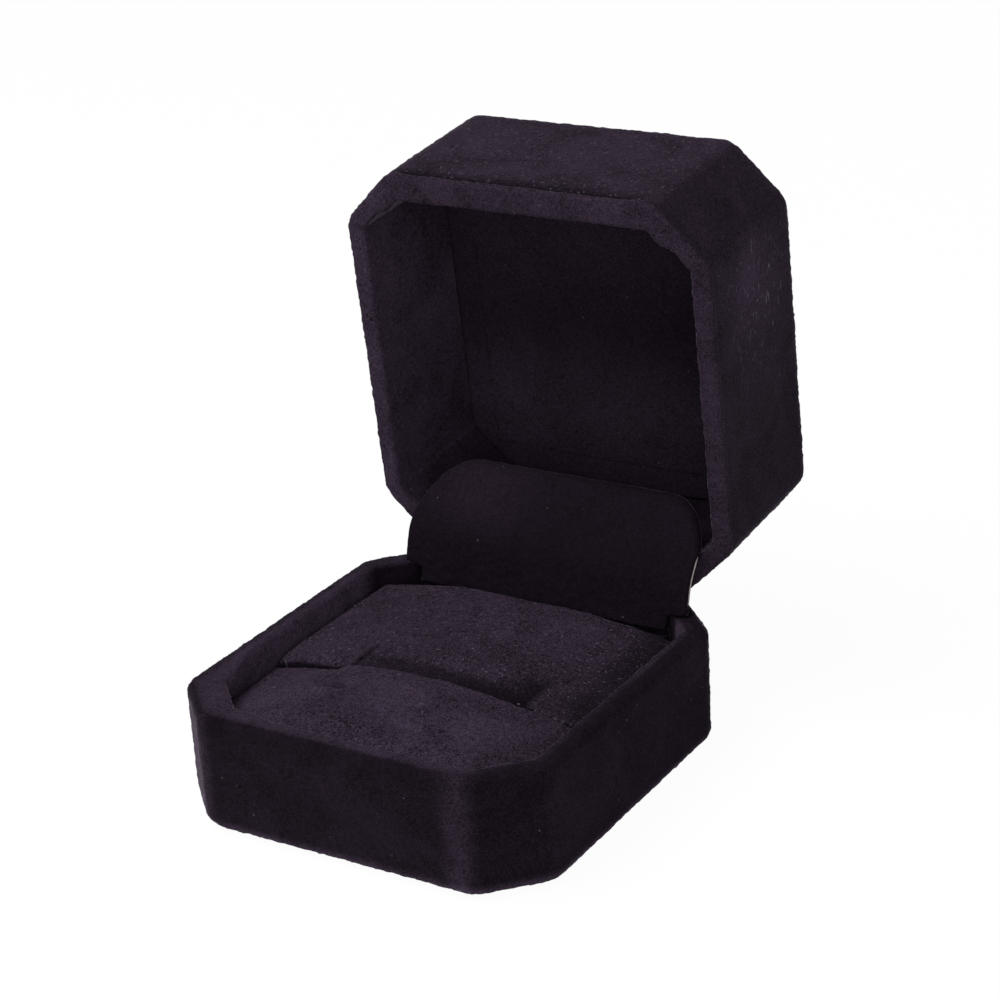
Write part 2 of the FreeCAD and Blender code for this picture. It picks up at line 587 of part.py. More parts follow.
def cushion(label, rear, skin):
    """One half of the pad, drawn in on every upper side by the skin."""
    body = new_body(label)
    if rear:
        crest = "(" + RIM + " - Sizes.rear_crest_drop - " + skin + ")"
        edge = "(" + RIM + " - Sizes.rear_edge_drop - " + skin + ")"
        roll = "(Sizes.rear_roll - " + skin + ")"
        lip = "(-Sizes.slit_place + Sizes.slit_width / 2 + " + skin + ")"
        end = "(" + FLAP_Y + " - " + HALF_FLAP + " - Sizes.anchor_play - " + skin + ")"
    else:
        crest = "(" + RIM + " + Sizes.front_crest_rise - " + skin + ")"
        edge = "(" + RIM + " - Sizes.front_edge_drop - " + skin + ")"
        roll = "(Sizes.front_roll - " + skin + ")"
        lip = "(-Sizes.slit_place - Sizes.slit_width / 2 - " + skin + ")"
        end = "(" + WALL + " + Sizes.pad_gap + " + skin + " - " + HALF_D + ")"
    inset = "(" + WALL + " + Sizes.pad_gap + " + skin + ")"
    half = "(" + HALF_W + " - " + inset + ")"
    roof = "(" + crest + " + Sizes.pad_edge_round)"
    far = "(" + half + " + Sizes.pad_gap)"
    over = "(" + roof + " + Sizes.pad_gap)"
    plan = rounded_octagon(body, label + "_plan", inset, S("base_corner_round"), PAD_FOOT)
    pad(body, label + "_block", plan, roof + " - " + PAD_FOOT)
    ends = new_sketch(body, label + "_ends", "XY_Plane", PAD_FOOT)
    if rear:
        draw(ends, box_points("front", "-" + far, far, "-" + HALF_D, lip))
        draw(ends, box_points("rear", "-" + far, far, end, HALF_D))
    else:
        draw(ends, box_points("rear", "-" + far, far, lip, HALF_D))
    pocket(body, label + "_ends_cut", ends, over + " - " + PAD_FOOT, back=True)
    bend = "(Sizes.pad_edge_round - " + skin + " / 2)"
    inner = half + " - " + bend
    arch = "((" + inner + ") ^ 2 + (" + crest + " - " + edge + ") ^ 2) / (2 * (" + crest + " - " + edge + "))"
    crown = new_sketch(body, label + "_crown", "XZ_Plane")
    draw(crown, [("left_low", "-" + half, edge + " - " + bend), ("left_high", "-(" + inner + ")", edge),
                 ("right_high", inner, edge), ("right_low", half, edge + " - " + bend),
                 ("right_out", far, edge + " - " + bend), ("right_top", far, over),
                 ("left_top", "-" + far, over), ("left_out", "-" + far, edge + " - " + bend)],
         {0: (bend, -1), 1: (arch, -1), 2: (bend, -1)})
    pocket(body, label + "_crown_cut", crown, middle=True)
    side = new_sketch(body, label + "_side", "YZ_Plane")
    nose = "(Sizes.lip_round - " + skin + " / 2)"
    if rear:
        draw(side, [("lip_low", lip, crest + " - " + nose), ("lip_high", lip + " + " + nose, crest),
                    ("end_high", end + " - " + roll, crest), ("end_low", end, crest + " - " + roll),
                    ("out_low", end + " + Sizes.pad_gap", crest + " - " + roll),
                    ("out_top", end + " + Sizes.pad_gap", over), ("in_top", lip + " - Sizes.pad_gap", over),
                    ("in_low", lip + " - Sizes.pad_gap", crest + " - " + nose)],
             {0: (nose, -1), 2: (roll, -1)})
    else:
        draw(side, [("end_low", end, crest + " - " + roll), ("end_high", end + " + " + roll, crest),
                    ("lip_high", lip + " - " + nose, crest), ("lip_low", lip, crest + " - " + nose),
                    ("in_low", lip + " + Sizes.pad_gap", crest + " - " + nose),
                    ("in_top", lip + " + Sizes.pad_gap", over), ("out_top", end + " - Sizes.pad_gap", over),
                    ("out_low", end + " - Sizes.pad_gap", crest + " - " + roll)],
             {0: (roll, -1), 2: (nose, -1)})
    pocket(body, label + "_side_cut", side, middle=True)
    if rear:
        wide = "(Sizes.slit_width / 2 + " + skin + ")"
        deep = lip + " + Sizes.tongue_length"
        slots = new_sketch(body, label + "_slots", "XY_Plane", over)
        for name, where in (("left", "Sizes.tongue_offset - Sizes.tongue_width / 2"),
                            ("right", "Sizes.tongue_offset + Sizes.tongue_width / 2")):
            draw(slots, box_points(name, where + " - " + wide, where + " + " + wide,
                                   lip + " - Sizes.pad_gap", deep))
        pocket(body, label + "_slot_cut", slots, "Sizes.tongue_cut_depth + " + skin)
        dip = new_sketch(body, label + "_dip", "YZ_Plane", "Sizes.tongue_offset")
        draw(dip, [("low", lip + " - Sizes.pad_gap", crest + " - Sizes.tongue_drop"),
                   ("lip", lip, crest + " - Sizes.tongue_drop"), ("root", deep, crest),
                   ("root_top", deep, over), ("low_top", lip + " - Sizes.pad_gap", over)])
        pocket(body, label + "_dip_cut", dip, "Sizes.tongue_width", middle=True)
    return body


front_foam = cushion("front_foam", False, S("pad_skin"))
rear_foam = cushion("rear_foam", True, S("pad_skin"))


def skin_over(label, rear, foam):
    outside = cushion(label + "_outside", rear, "0")
    skin = doc.addObject("Part::Cut", label)
    skin.Label = label
    skin.Base = outside
    skin.Tool = foam
    doc.recompute()
    return skin


front_velvet = skin_over("front_velvet", False, front_foam)
rear_velvet = skin_over("rear_velvet", True, rear_foam)

# Flap: a card bent back over the hinge, velvet on its front, its foot standing behind the pad.
LOW = "(Sizes.flap_low_angle * 1 deg)"
HIGH = "(Sizes.flap_high_angle * 1 deg)"


def flap_layer(label, front, back):
    """A layer of the flap between two offsets from its middle, forward positive."""
    body = new_body(label)
    side = new_sketch(body, label + "_side", "YZ_Plane")

    def at(along, lean, offset):
        y = along[0] + " - (" + offset + ") * cos(" + lean + ")"
        z = along[1] + " + (" + offset + ") * sin(" + lean + ")"
        return y, z

    foot = (FLAP_Y, FLAP_Z)
    knee = (FLAP_Y + " + Sizes.flap_low_length * sin(" + LOW + ")",
            FLAP_Z + " + Sizes.flap_low_length * cos(" + LOW + ")")
    bent = (knee[0] + " + Sizes.flap_bend_radius * (cos(" + LOW + ") - cos(" + HIGH + "))",
            knee[1] + " + Sizes.flap_bend_radius * (sin(" + HIGH + ") - sin(" + LOW + "))")
    top = (bent[0] + " + Sizes.flap_high_length * sin(" + HIGH + ")",
           bent[1] + " + Sizes.flap_high_length * cos(" + HIGH + ")")
    stops = [("foot", foot, LOW), ("knee", knee, LOW), ("bent", bent, HIGH), ("top", top, HIGH)]
    ring_points = [(name + "_front",) + at(spot, lean, front) for name, spot, lean in stops]
    ring_points += [(name + "_back",) + at(spot, lean, back) for name, spot, lean in reversed(stops)]
    draw(side, ring_points, {1: ("Sizes.flap_bend_radius + (" + front + ")", -1),
                             5: ("Sizes.flap_bend_radius + (" + back + ")", 1)})
    left = "(" + TAB_LEFT + " - Sizes.flap_ear)"
    right = "(" + TAB_RIGHT + " + Sizes.flap_ear)"
    wide = "(" + right + " - " + left + " + 2 * Sizes.flap_offset + 2 * Sizes.flap_corner)"
    pad(body, label + "_sheet", side, wide, middle=True)
    trim = new_sketch(body, label + "_trim", "XZ_Plane")
    shoulder = "(Sizes.base_rim + Sizes.flap_tab_rise)"
    high = "(" + top[1] + " + " + FLAP_THICK + ")"
    crown = "(" + top[1] + " - " + FLAP_THICK + " / 2 * sin(" + HIGH + "))"
    low = "(" + FLAP_Z + " - " + FLAP_THICK + ")"
    corner = S("flap_corner")
    draw(trim, [("tab_low_left", TAB_LEFT, low), ("tab_low_right", TAB_RIGHT, low),
                ("tab_right", TAB_RIGHT, shoulder), ("right_low", right, shoulder),
                ("right_high", right, crown + " - " + corner),
                ("top_right", right + " - " + corner, crown), ("top_left", left + " + " + corner, crown),
                ("left_high", left, crown + " - " + corner), ("left_low", left, shoulder),
                ("tab_left", TAB_LEFT, shoulder)], {4: (corner, 1), 6: (corner, 1)})
    draw(trim, box_points("frame", "-" + wide, wide, low + " - " + FLAP_THICK, high + " + " + FLAP_THICK))
    pocket(body, label + "_trim_cut", trim, middle=True)
    return body


flap_card = flap_layer("flap_card", HALF_FLAP + " - Sizes.flap_velvet", "-" + HALF_FLAP)
flap_velvet = flap_layer("flap_velvet", HALF_FLAP, HALF_FLAP + " - Sizes.flap_velvet")

flap_anchor = new_body("flap_anchor")
anchor = new_sketch(flap_anchor, "anchor_outline", "XY_Plane", PAD_FOOT)
draw(anchor, box_points("anchor", TAB_LEFT, TAB_RIGHT,
                        FLAP_Y + " - " + HALF_FLAP, FLAP_Y + " + " + HALF_FLAP))
pad(flap_anchor, "anchor", anchor, FLAP_Z + " - Sizes.anchor_gap - " + PAD_FOOT)

# The lid and what it carries turn open about the hinge.
TURN = "(-Sizes.lid_open_angle * 1 deg)"
for piece in (lid_shell, lid_velvet, lid_lining_board, lid_lining_velvet, hinge_leaf_lid, hinge_rivets_lid):
    piece.Placement = FreeCAD.Placement(V(0, 0, 0), FreeCAD.Rotation(V(1, 0, 0), -1))
    piece.setExpression("Placement.Rotation.Angle", "-Sizes.lid_open_angle * 1 deg")
    piece.setExpression("Placement.Base.y", HINGE_Y + " - " + HINGE_Y + " * cos(" + TURN + ") + "
                        + HINGE_Z + " * sin(" + TURN + ")")
    piece.setExpression("Placement.Base.z", HINGE_Z + " - " + HINGE_Y + " * sin(" + TURN + ") - "
                        + HINGE_Z + " * cos(" + TURN + ")")
doc.recompute()

NODES = [base_shell, base_velvet, foot_board, foot_felt, insert_board, front_foam, front_velvet, rear_foam,
         rear_velvet, flap_anchor, hinge_leaf_base, hinge_pin, hinge_rivets_base, hinge_spring, lid_shell,
         lid_velvet, lid_lining_board, lid_lining_velvet, hinge_leaf_lid, hinge_rivets_lid, flap_card,
         flap_velvet]
for thing in doc.Objects:
    if "Invalid" in thing.State or "Error" in thing.State:
        raise RuntimeError("not built: " + thing.Label)
for node in NODES:
    if node.Shape.isNull() or not node.Shape.isValid():
        raise RuntimeError("bad shape: " + node.Label)
    node.Shape.exportStep("parts/" + node.Label + ".step")
    print(node.Label, len(node.Shape.Solids), round(node.Shape.Volume, 2))
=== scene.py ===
import math

import bpy
import numpy as np
from mathutils import Matrix, Vector


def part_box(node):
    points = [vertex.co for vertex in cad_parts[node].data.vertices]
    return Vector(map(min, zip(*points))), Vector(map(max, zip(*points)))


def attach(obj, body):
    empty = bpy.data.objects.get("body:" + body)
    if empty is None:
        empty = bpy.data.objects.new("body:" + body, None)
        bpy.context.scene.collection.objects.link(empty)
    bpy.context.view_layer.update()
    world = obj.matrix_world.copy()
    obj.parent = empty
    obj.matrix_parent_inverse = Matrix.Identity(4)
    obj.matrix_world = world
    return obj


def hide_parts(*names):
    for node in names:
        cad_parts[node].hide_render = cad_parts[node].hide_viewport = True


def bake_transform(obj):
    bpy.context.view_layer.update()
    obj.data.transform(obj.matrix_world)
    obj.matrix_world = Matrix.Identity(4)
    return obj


# Octagonal velvet ring box, lid open. Lengths here are millimetres in the frame of the part,
# and turn into metres where a mesh is made.

MM = 0.001
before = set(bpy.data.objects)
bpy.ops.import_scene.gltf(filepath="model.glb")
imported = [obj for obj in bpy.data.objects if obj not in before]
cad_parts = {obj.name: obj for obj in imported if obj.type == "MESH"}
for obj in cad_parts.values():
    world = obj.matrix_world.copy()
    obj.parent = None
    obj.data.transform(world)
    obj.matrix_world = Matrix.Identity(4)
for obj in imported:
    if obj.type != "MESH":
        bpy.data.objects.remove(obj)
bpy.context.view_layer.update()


def box_mm(node):
    low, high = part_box(node)
    return [c / MM for c in low], [c / MM for c in high]


# Sizes read from the frame
BASE_LOW, BASE_HIGH = box_mm("base_velvet")
BOARD_LOW, BOARD_HIGH = box_mm("insert_board")
ANCHOR_LOW, ANCHOR_HIGH = box_mm("flap_anchor")
HALF_W, HALF_D, RIM = BASE_HIGH
FOOT = BASE_LOW[2]
FLOOR, PAD_FOOT = BOARD_LOW[2], BOARD_HIGH[2]

# Sizes of the wraps
VELVET = 0.8
WALL = 3.2
CORNER_CUT = 7.7
BASE_CORNER, LID_CORNER = 1.2, 0.6
RIM_ROUND, FOOT_ROUND, TOP_ROUND = 1.3, 1.8, 1.8
BASE_BAND_IN = 0.7
LID_BAND_OUT, LID_BAND_IN = 0.8, 0.5
RIM_GAP = 0.4
LID_WALL = 2.75
LID_HEIGHT = 24.6
SHELL_FLOOR = 1.6
SHELL_RIM = RIM - VELVET
LID_RIM = RIM + RIM_GAP
LID_TOP = LID_RIM + LID_HEIGHT
LID_CEILING = LID_TOP - VELVET - SHELL_FLOOR

# Fuller velvet in the base's front left corner and on the lid's front rim, and the crease below that rim
CORNER_FULL, CORNER_WAY = 1.9, (0.8, 0.6, 0.0)
LID_ROLL = 1.2
CREASE_PLACE, CREASE_WIDTH, CREASE_DEPTH = 1.55, 0.85, 0.55

# Hinge
HINGE_Y = HALF_D - 0.3
HINGE_Z = RIM + 0.7
LID_OPEN = math.radians(84.5)
KNUCKLE, HINGE_PLAY = 1.14, 0.3
NOTCH_HALF = 16.0
NOTCH_FRONT = HALF_D - WALL - 0.6
LID_NOTCH_TOP = HINGE_Z + KNUCKLE + HINGE_PLAY
COIL_RADIUS, COIL_PITCH, COIL_TURNS = 0.9, 0.85, 4.25
WIRE, WIRE_SIDES = 0.2, 10
COIL_BEND, COIL_LEG = 0.8, 3.0
COIL_REACH = WALL - 0.3 + 0.5 + 0.2

# Ring pad. Its front edge is less rolled right of the ramp FULLER. Each dent is (x, y, size).
PAD_GAP = 0.6
FRONT_CREST_RISE, FRONT_EDGE_DROP, FRONT_ROLL = 0.1, 2.8, 3.2
REAR_CREST_DROP, REAR_EDGE_DROP, REAR_ROLL = 0.4, 2.4, 2.2
PAD_EDGE = 1.6
PAD_CROWN = 2.2
LIP = 0.7
SLIT_DIP = 1.0
TONGUE_LEFT, TONGUE_RIGHT = -11.0, 15.0
TONGUE_ROOT = 0.5
CUT_HALF = 0.1
FULLER = (-20.0, -9.0)
PAD_DENTS = ((-9.0, -13.5, 1.0), (5.5, -15.0, 0.8))

# Flap and lid lining. Leans in degrees from upright.
FLAP_Y = HALF_D - WALL - 3.6
FLAP_Z = RIM - 2.2
FLAP_VELVET = 0.5
FLAP_THICK = 1.2
FLAP_LOW, FLAP_HIGH = 16.0, 46.0
FLAP_LOW_LENGTH, FLAP_HIGH_LENGTH = 5.5, 9.4
FLAP_BEND = 8.0
FLAP_CORNER = 7.2
FLAP_EAR = 2.9
FLAP_TAB_LEFT, FLAP_TAB_RIGHT = ANCHOR_LOW[0], ANCHOR_HIGH[0]
FLAP_COLUMNS, FLAP_CELL = 140, 0.28
SHOULDER_LOW, SHOULDER_HIGH = RIM + 0.1, RIM + 0.6
CARD_BARE = (RIM + 0.4, RIM + 1.4, 23.7, 24.7)
FLAP_PRESS = 1.88
LINING_VELVET = 0.8
LINING_BOARD = 1.0

# The velvet turned over the flap's edge, shown side and hidden side: (out past the edge, depth), where
# depth is 0 on the front face and 1 on the card's back face
TURNED = ((0.16, 0.06), (0.3, 0.22), (0.36, 0.5), (0.34, 0.82), (0.2, 1.1), (-0.1, 1.2), (-0.9, 1.22),
          (-1.9, 1.22))
UNDER = ((0.05, 0.14), (0.1, 0.24), (0.12, 0.5), (0.12, 0.8), (0.05, 1.02), (-0.15, 1.05), (-0.9, 1.05),
         (-1.9, 1.05))

# Mesh fineness, heights of the pile and of its slow waves, and the seeds of their noise
CELL, LID_CELL, PAD_CELL = 0.36, 0.41, 0.34
PILE, PAD_PILE = 0.12, 0.13
WAVE, PAD_WAVE = 0.05, 0.03
SEEDS = {"base": 11, "lid": 23, "front_pad": 41, "rear_pad": 57, "flap": 71, "lining": 83, "anchor": 91}

# Ramps for how far a normal points to a side: squarely, roughly, or on the way round a cut corner
SQUARELY, ROUGHLY, TURNING = (0.8, 0.95), (0.5, 0.9), (0.3, 0.6)

# Nap that no light reaches
HIDDEN_NAP = 0.1


def turn_open(ways):
    """Turns shut-lid directions to the open lid."""
    c, s = math.cos(-LID_OPEN), math.sin(-LID_OPEN)
    return np.column_stack([ways[:, 0], c * ways[:, 1] - s * ways[:, 2], s * ways[:, 1] + c * ways[:, 2]])


def rotate_open(points):
    """Turns shut-lid points about the hinge to the open lid."""
    hinge = np.array([0, HINGE_Y, HINGE_Z])
    return turn_open(points - hinge) + hinge


def lattice_noise(points, size, seed):
    """Smooth noise from -1 to 1 on a lattice of that cell size."""
    scaled = points / size
    cell = np.floor(scaled).astype(np.int64)
    t = scaled - cell
    t = t * t * (3 - 2 * t)
    total = np.zeros(len(points))
    word = 0xFFFFFFFF
    for step in np.ndindex(2, 2, 2):
        x, y, z = (cell + step).T
        key = x * 73856093 ^ y * 19349663 ^ z * 83492791
        key = (key ^ (seed * 2654435761)) & word
        for _ in range(2):
            key = ((key ^ (key >> 16)) * 0x45D9F3B) & word
        key = key ^ (key >> 16)
        height = key / word * 2 - 1
        weight = np.where(step, t, 1 - t)
        total += height * (weight[:, 0] * weight[:, 1]) * weight[:, 2]
    return total


def smooth_step(value, low, high):
    t = np.clip((value - low) / (high - low), 0, 1)
    return t * t * (3 - 2 * t)


def between(value, rise, full, fade, end):
    """1 between two places, with a ramp up before the first and a ramp down after the second."""
    return smooth_step(value, rise, full) * (1 - smooth_step(value, fade, end))


def bell(value, middle, width):
    return np.exp(-((value - middle) / width) ** 2)


def rounded_octagon(inset, radius, reach, step):
    """Points and outward normals once round the box, from the middle of the front left cut. Also the number
    of points on the front and on a side."""
    corner = (HALF_W + HALF_D - CORNER_CUT) / math.sqrt(2)
    reaches = [corner, HALF_D, corner, HALF_W, corner, HALF_D, corner, HALF_W]
    angles = [math.radians(225 + 45 * i) for i in range(8)]
    walls = [(a, d - inset) for a, d in zip(angles, reaches)]

    def meet(i, j):
        (a, da), (b, db) = walls[i % 8], walls[j % 8]
        spread = math.sin(b - a)
        return np.array([(da * math.sin(b) - db * math.sin(a)) / spread,
                         (db * math.cos(a) - da * math.cos(b)) / spread])

    spots, normals, quarter = [], [], []
    tangent_length = radius * math.tan(math.pi / 8)
    for i in range(8):
        a = walls[i][0]
        along = np.array([-math.sin(a), math.cos(a)])
        out = np.array([math.cos(a), math.sin(a)])
        begin = meet(i - 1, i) + along * tangent_length
        end = meet(i, i + 1) - along * tangent_length
        half_steps = max(1, round(np.linalg.norm(end - begin) / step / 2))
        if i % 2 == 0:
            quarter.append(len(spots) + half_steps)
        spots += list(np.linspace(begin, end, 2 * half_steps, endpoint=False))
        normals += [out] * (2 * half_steps)
        turn_steps = max(2, round((radius + reach) * math.pi / 4 / step))
        centre = end - out * radius
        for angle in np.linspace(a, a + math.pi / 4, turn_steps, endpoint=False):
            normals.append(np.array([math.cos(angle), math.sin(angle)]))
            spots.append(centre + radius * normals[-1])
    start = quarter[0]
    spots = np.roll(np.array(spots), -start, axis=0)
    normals = np.roll(np.array(normals), -start, axis=0)
    return spots, normals, quarter[1] - quarter[0], quarter[2] - quarter[1]


def divided(points, parts):
    """A line with each of its steps divided into that many parts."""
    line = [points[0]]
    for a, b, count in zip(points, points[1:], parts):
        line += [a + (b - a) * k / count for k in range(1, count + 1)]
    return np.array(line)


def rounded_line(corners, step):
    """A line through (a, b, radius) corners with each corner rounded, in even steps."""
    places = np.array(corners, float)[:, :2]
    points = [places[0]]
    for before, here, after, (_, _, radius) in zip(places, places[1:], places[2:], corners[1:]):
        into, away = here - before, after - here
        into, away = into / np.linalg.norm(into), away / np.linalg.norm(away)
        turn = math.acos(np.clip(into @ away, -1, 1))
        steps = max(3, round(radius * turn / step))
        inward = away - into * (into @ away)
        inward /= np.linalg.norm(inward)
        centre = here - into * radius * math.tan(turn / 2) + inward * radius
        for k in range(steps + 1):
            angle = turn * k / steps
            points.append(centre - inward * radius * math.cos(angle) + into * radius * math.sin(angle))
    points.append(places[-1])
    lengths = np.linalg.norm(np.diff(points, axis=0), axis=1)
    return divided(points, [max(1, round(length / step)) for length in lengths])


def new_piece(name, points, faces, material, normals=None):
    """A smooth mesh object from points in millimetres. Normals, where given, shade it in place of its own."""
    mesh = bpy.data.meshes.new(name)
    mesh.from_pydata((np.asarray(points) * MM).tolist(), [], [list(f) for f in faces])
    mesh.validate()
    mesh.shade_smooth()
    if normals is not None:
        mesh.normals_split_custom_set_from_vertices(np.asarray(normals).tolist())
    piece = bpy.data.objects.new(name, mesh)
    bpy.context.scene.collection.objects.link(piece)
    mesh.materials.append(material)
    return piece


def mesh_normals(points, faces):
    """Vertex normals of a quad mesh."""
    quads = np.array([f for f in faces if len(f) == 4])
    a, b, c, d = (points[quads[:, k]] for k in range(4))
    face_normal = np.cross(c - a, d - b)
    normals = np.zeros_like(points)
    for k in range(4):
        np.add.at(normals, quads[:, k], face_normal)
    length = np.linalg.norm(normals, axis=1, keepdims=True)
    return normals / np.maximum(length, 1e-12)


def add_pile(points, faces, weight, seed, pile=PILE, wave=WAVE):
    """Raises the velvet's surface: a slow waviness and a fine uneven pile, along the normals. Also gives the
    normals of the waved form, which shade the pile softly."""
    normals = mesh_normals(points, faces)
    slow = wave * (lattice_noise(points, 7.0, seed + 2) + 0.6 * lattice_noise(points, 2.6, seed + 3))
    waved = points + normals * (slow * weight)[:, None]
    normals = mesh_normals(waved, faces)
    fine = pile * (0.5 * lattice_noise(points, 0.8, seed) + 0.8 * lattice_noise(points, 0.37, seed + 1))
    return waved + normals * (fine * weight)[:, None], normals


def set_field(piece, name, values):
    """Stores a value at each point for the velvet. Field of tone: how pale it is painted, from 0, pile laid
    flat, the lie of the pile together with painted light and shade. Field loose: how many stray fibres lie on
    it."""
    attribute = piece.data.attributes.new(name, "FLOAT", "POINT")
    attribute.data.foreach_set("value", np.maximum(values, 0).astype(np.float32))


def grid_faces(columns, rows, round_columns=False, round_rows=False):
    """Quads of a grid, which may close round its columns and rows. Point number: column * rows + row."""
    faces = []
    for i in range(columns if round_columns else columns - 1):
        j = (i + 1) % columns
        for k in range(rows if round_rows else rows - 1):
            m = (k + 1) % rows
            faces.append((i * rows + k, j * rows + k, j * rows + m, i * rows + m))
    return faces


def sweep(section, corner, cell):
    """A section of (inset, height) points swept round the box."""
    spots, normals, front_count, side_count = rounded_octagon(WALL, corner, WALL, cell)
    plan = spots[:, None, :] + normals[:, None, :] * (WALL - section[None, :, 0, None])
    heights = np.broadcast_to(section[None, :, 1, None], plan.shape[:2] + (1,))
    points = np.concatenate([plan, heights], axis=2).reshape(-1, 3)
    return points, len(spots), front_count, side_count


def filled_octagon(edge, front_count, side_count):
    """A grid of points that fills a closed edge of points, without the edge itself."""
    front = edge[:front_count + 1]
    right = edge[front_count:front_count + side_count + 1]
    rear = edge[front_count + side_count:2 * front_count + side_count + 1][::-1]
    left = np.concatenate([edge[2 * front_count + side_count:], edge[:1]])[::-1]
    u = np.linspace(0, 1, front_count + 1)[:, None, None]
    v = np.linspace(0, 1, side_count + 1)[None, :, None]
    grid = (1 - v) * front[:, None] + v * rear[:, None] + (1 - u) * left[None] + u * right[None]
    grid -= (1 - u) * (1 - v) * front[0] + u * (1 - v) * front[-1] + (1 - u) * v * rear[0] + u * v * rear[-1]
    return grid


def edge_index(front_count, side_count, ring):
    """Places the numbers of a closed edge round the border of an empty grid."""
    index = -np.ones((front_count + 1, side_count + 1), int)
    closed = np.append(ring, ring[0])
    index[:, 0], closed = closed[:front_count + 1], closed[front_count:]
    index[-1, :], closed = closed[:side_count + 1], closed[side_count:]
    index[::-1, -1], closed = closed[:front_count + 1], closed[front_count:]
    index[0, ::-1] = closed
    return index


def capped(points, ring, front_count, side_count):
    """Points with a closed ring of them filled by a grid, and the faces of that grid."""
    grid = filled_octagon(points[ring], front_count, side_count)
    index = edge_index(front_count, side_count, ring)
    empty = index < 0
    index[empty] = len(points) + np.arange(empty.sum())
    quads = np.stack([index[:-1, :-1], index[1:, :-1], index[1:, 1:], index[:-1, 1:]], axis=-1)
    faces = [tuple(quad) for quad in quads.reshape(-1, 4).tolist()]
    return np.concatenate([points, grid[empty]]), faces


# Materials


class Tree:
    """The nodes of a material or a world, with short ways to add those used here."""

    def __init__(self, owner):
        owner.use_nodes = True
        self.nodes = owner.node_tree.nodes
        self.links = owner.node_tree.links

    def join(self, value, socket):
        """Sets a socket to a plain value, or links an output to it."""
        if isinstance(value, (tuple, float)):
            socket.default_value = value
        else:
            self.links.new(value, socket)

    def add(self, kind, inputs):
        node = self.nodes.new(kind)
        for key, value in inputs.items():
            self.join(value, node.inputs[key])
        return node.outputs

    def math(self, operation, a, b):
        node = self.nodes.new("ShaderNodeMath")
        node.operation = operation
        self.join(a, node.inputs[0])
        self.join(b, node.inputs[1])
        return node.outputs[0]

    def split(self, factor, first, second, output):
        """One shader in place of another, by a factor, led to the tree's output."""
        mix = self.nodes.new("ShaderNodeMixShader")
        self.links.new(factor, mix.inputs["Fac"])
        self.links.new(first, mix.inputs[1])
        self.links.new(second, mix.inputs[2])
        self.links.new(mix.outputs["Shader"], self.nodes[output].inputs["Surface"])


class Look(Tree):
    """A material under way."""

    def __init__(self, name):
        self.material = bpy.data.materials.new(name)
        super().__init__(self.material)
        self.shader = self.nodes["Principled BSDF"]

    def place(self):
        return self.nodes.new("ShaderNodeTexCoord").outputs["Object"]

    def attribute(self, name):
        node = self.nodes.new("ShaderNodeAttribute")
        node.attribute_name = name
        return node.outputs["Fac"]

    def stretched(self, place, scale, rotation=(0.0, 0.0, 0.0)):
        inputs = {"Vector": place, "Rotation": rotation, "Scale": scale}
        return self.add("ShaderNodeMapping", inputs)["Vector"]

    def noise(self, place, scale, detail=2.0, distortion=0.0):
        inputs = {"Vector": place, "Scale": scale, "Detail": detail, "Distortion": distortion}
        return self.add("ShaderNodeTexNoise", inputs)["Fac"]

    def cells(self, place, scale):
        return self.add("ShaderNodeTexVoronoi", {"Vector": place, "Scale": scale})["Distance"]

    def spread(self, value, low, high, to_low, to_high):
        inputs = {"Value": value, "From Min": low, "From Max": high, "To Min": to_low, "To Max": to_high}
        return self.add("ShaderNodeMapRange", inputs)["Result"]

    def mix(self, factor, a, b):
        node = self.nodes.new("ShaderNodeMix")
        node.data_type = "RGBA"
        node.clamp_factor = False
        for key, value in (("Factor", factor), ("A", a), ("B", b)):
            self.join(value, node.inputs[key])
        return node.outputs["Result"]

    def finish(self, inputs, height, strength, distance):
        """Sets the shader's inputs and its bumps, and gives the material."""
        for key, value in inputs.items():
            self.join(value, self.shader.inputs[key])
        bump = self.add("ShaderNodeBump", {"Height": height, "Strength": strength, "Distance": distance})
        self.links.new(bump["Normal"], self.shader.inputs["Normal"])
        return self.material


def velvet_material(name, grain=1.0, patchiness=0.25, sheen=0.05, lint=0.075):
    """Velvet: dark between the fibres, paler where its tone field is high, which holds the lie of the pile
    and painted light and shade, with grain, patches of combed pile, lint and loose fibres."""
    look = Look(name)
    place = look.place()
    fine = look.noise(place, 5000.0, 3.0)
    middle = look.noise(place, 1500.0, 3.0)
    patch = look.noise(place, 95.0, 4.0, 1.2)
    # The tone field mixes the lie of the pile with painted light and shade, from DEEP to BRIGHT.
    nap_and_light = look.attribute("nap_and_light")
    uneven = look.math("ADD", look.spread(fine, 0.3, 0.7, -0.6 * grain, 0.6 * grain),
                       look.spread(middle, 0.3, 0.7, -0.2 * grain, 0.2 * grain))
    uneven = look.math("ADD", uneven, look.spread(patch, 0.35, 0.65, -patchiness, patchiness))
    share = look.math("ADD", look.math("MULTIPLY", nap_and_light, 0.85), 0.12)
    level = look.math("ADD", nap_and_light, look.math("MULTIPLY", uneven, share))
    colour = look.mix(look.math("MAXIMUM", level, 0.0), DEEP, BRIGHT)
    speck = look.spread(look.cells(place, 330.0), 0.03, 0.05, 0.75, 0.0)
    colour = look.mix(speck, colour, (lint, 0.84 * lint, 1.06 * lint, 1.0))
    lean = look.stretched(place, (1.0, 1.0, 0.3), (math.radians(25), 0.0, 0.0))
    fibre = look.spread(look.noise(lean, 2100.0, 1.0), 0.66, 0.72, 0.0, 1.0)
    fibre = look.math("MULTIPLY", fibre, look.attribute("loose"))
    colour = look.mix(fibre, colour, FIBRE)
    inputs = {"Base Color": colour, "Roughness": 0.95, "Specular IOR Level": 0.03, "Sheen Weight": sheen,
              "Sheen Roughness": 0.16, "Sheen Tint": SHEEN}
    return look.finish(inputs, look.math("ADD", fine, middle), 0.55, 0.00012)


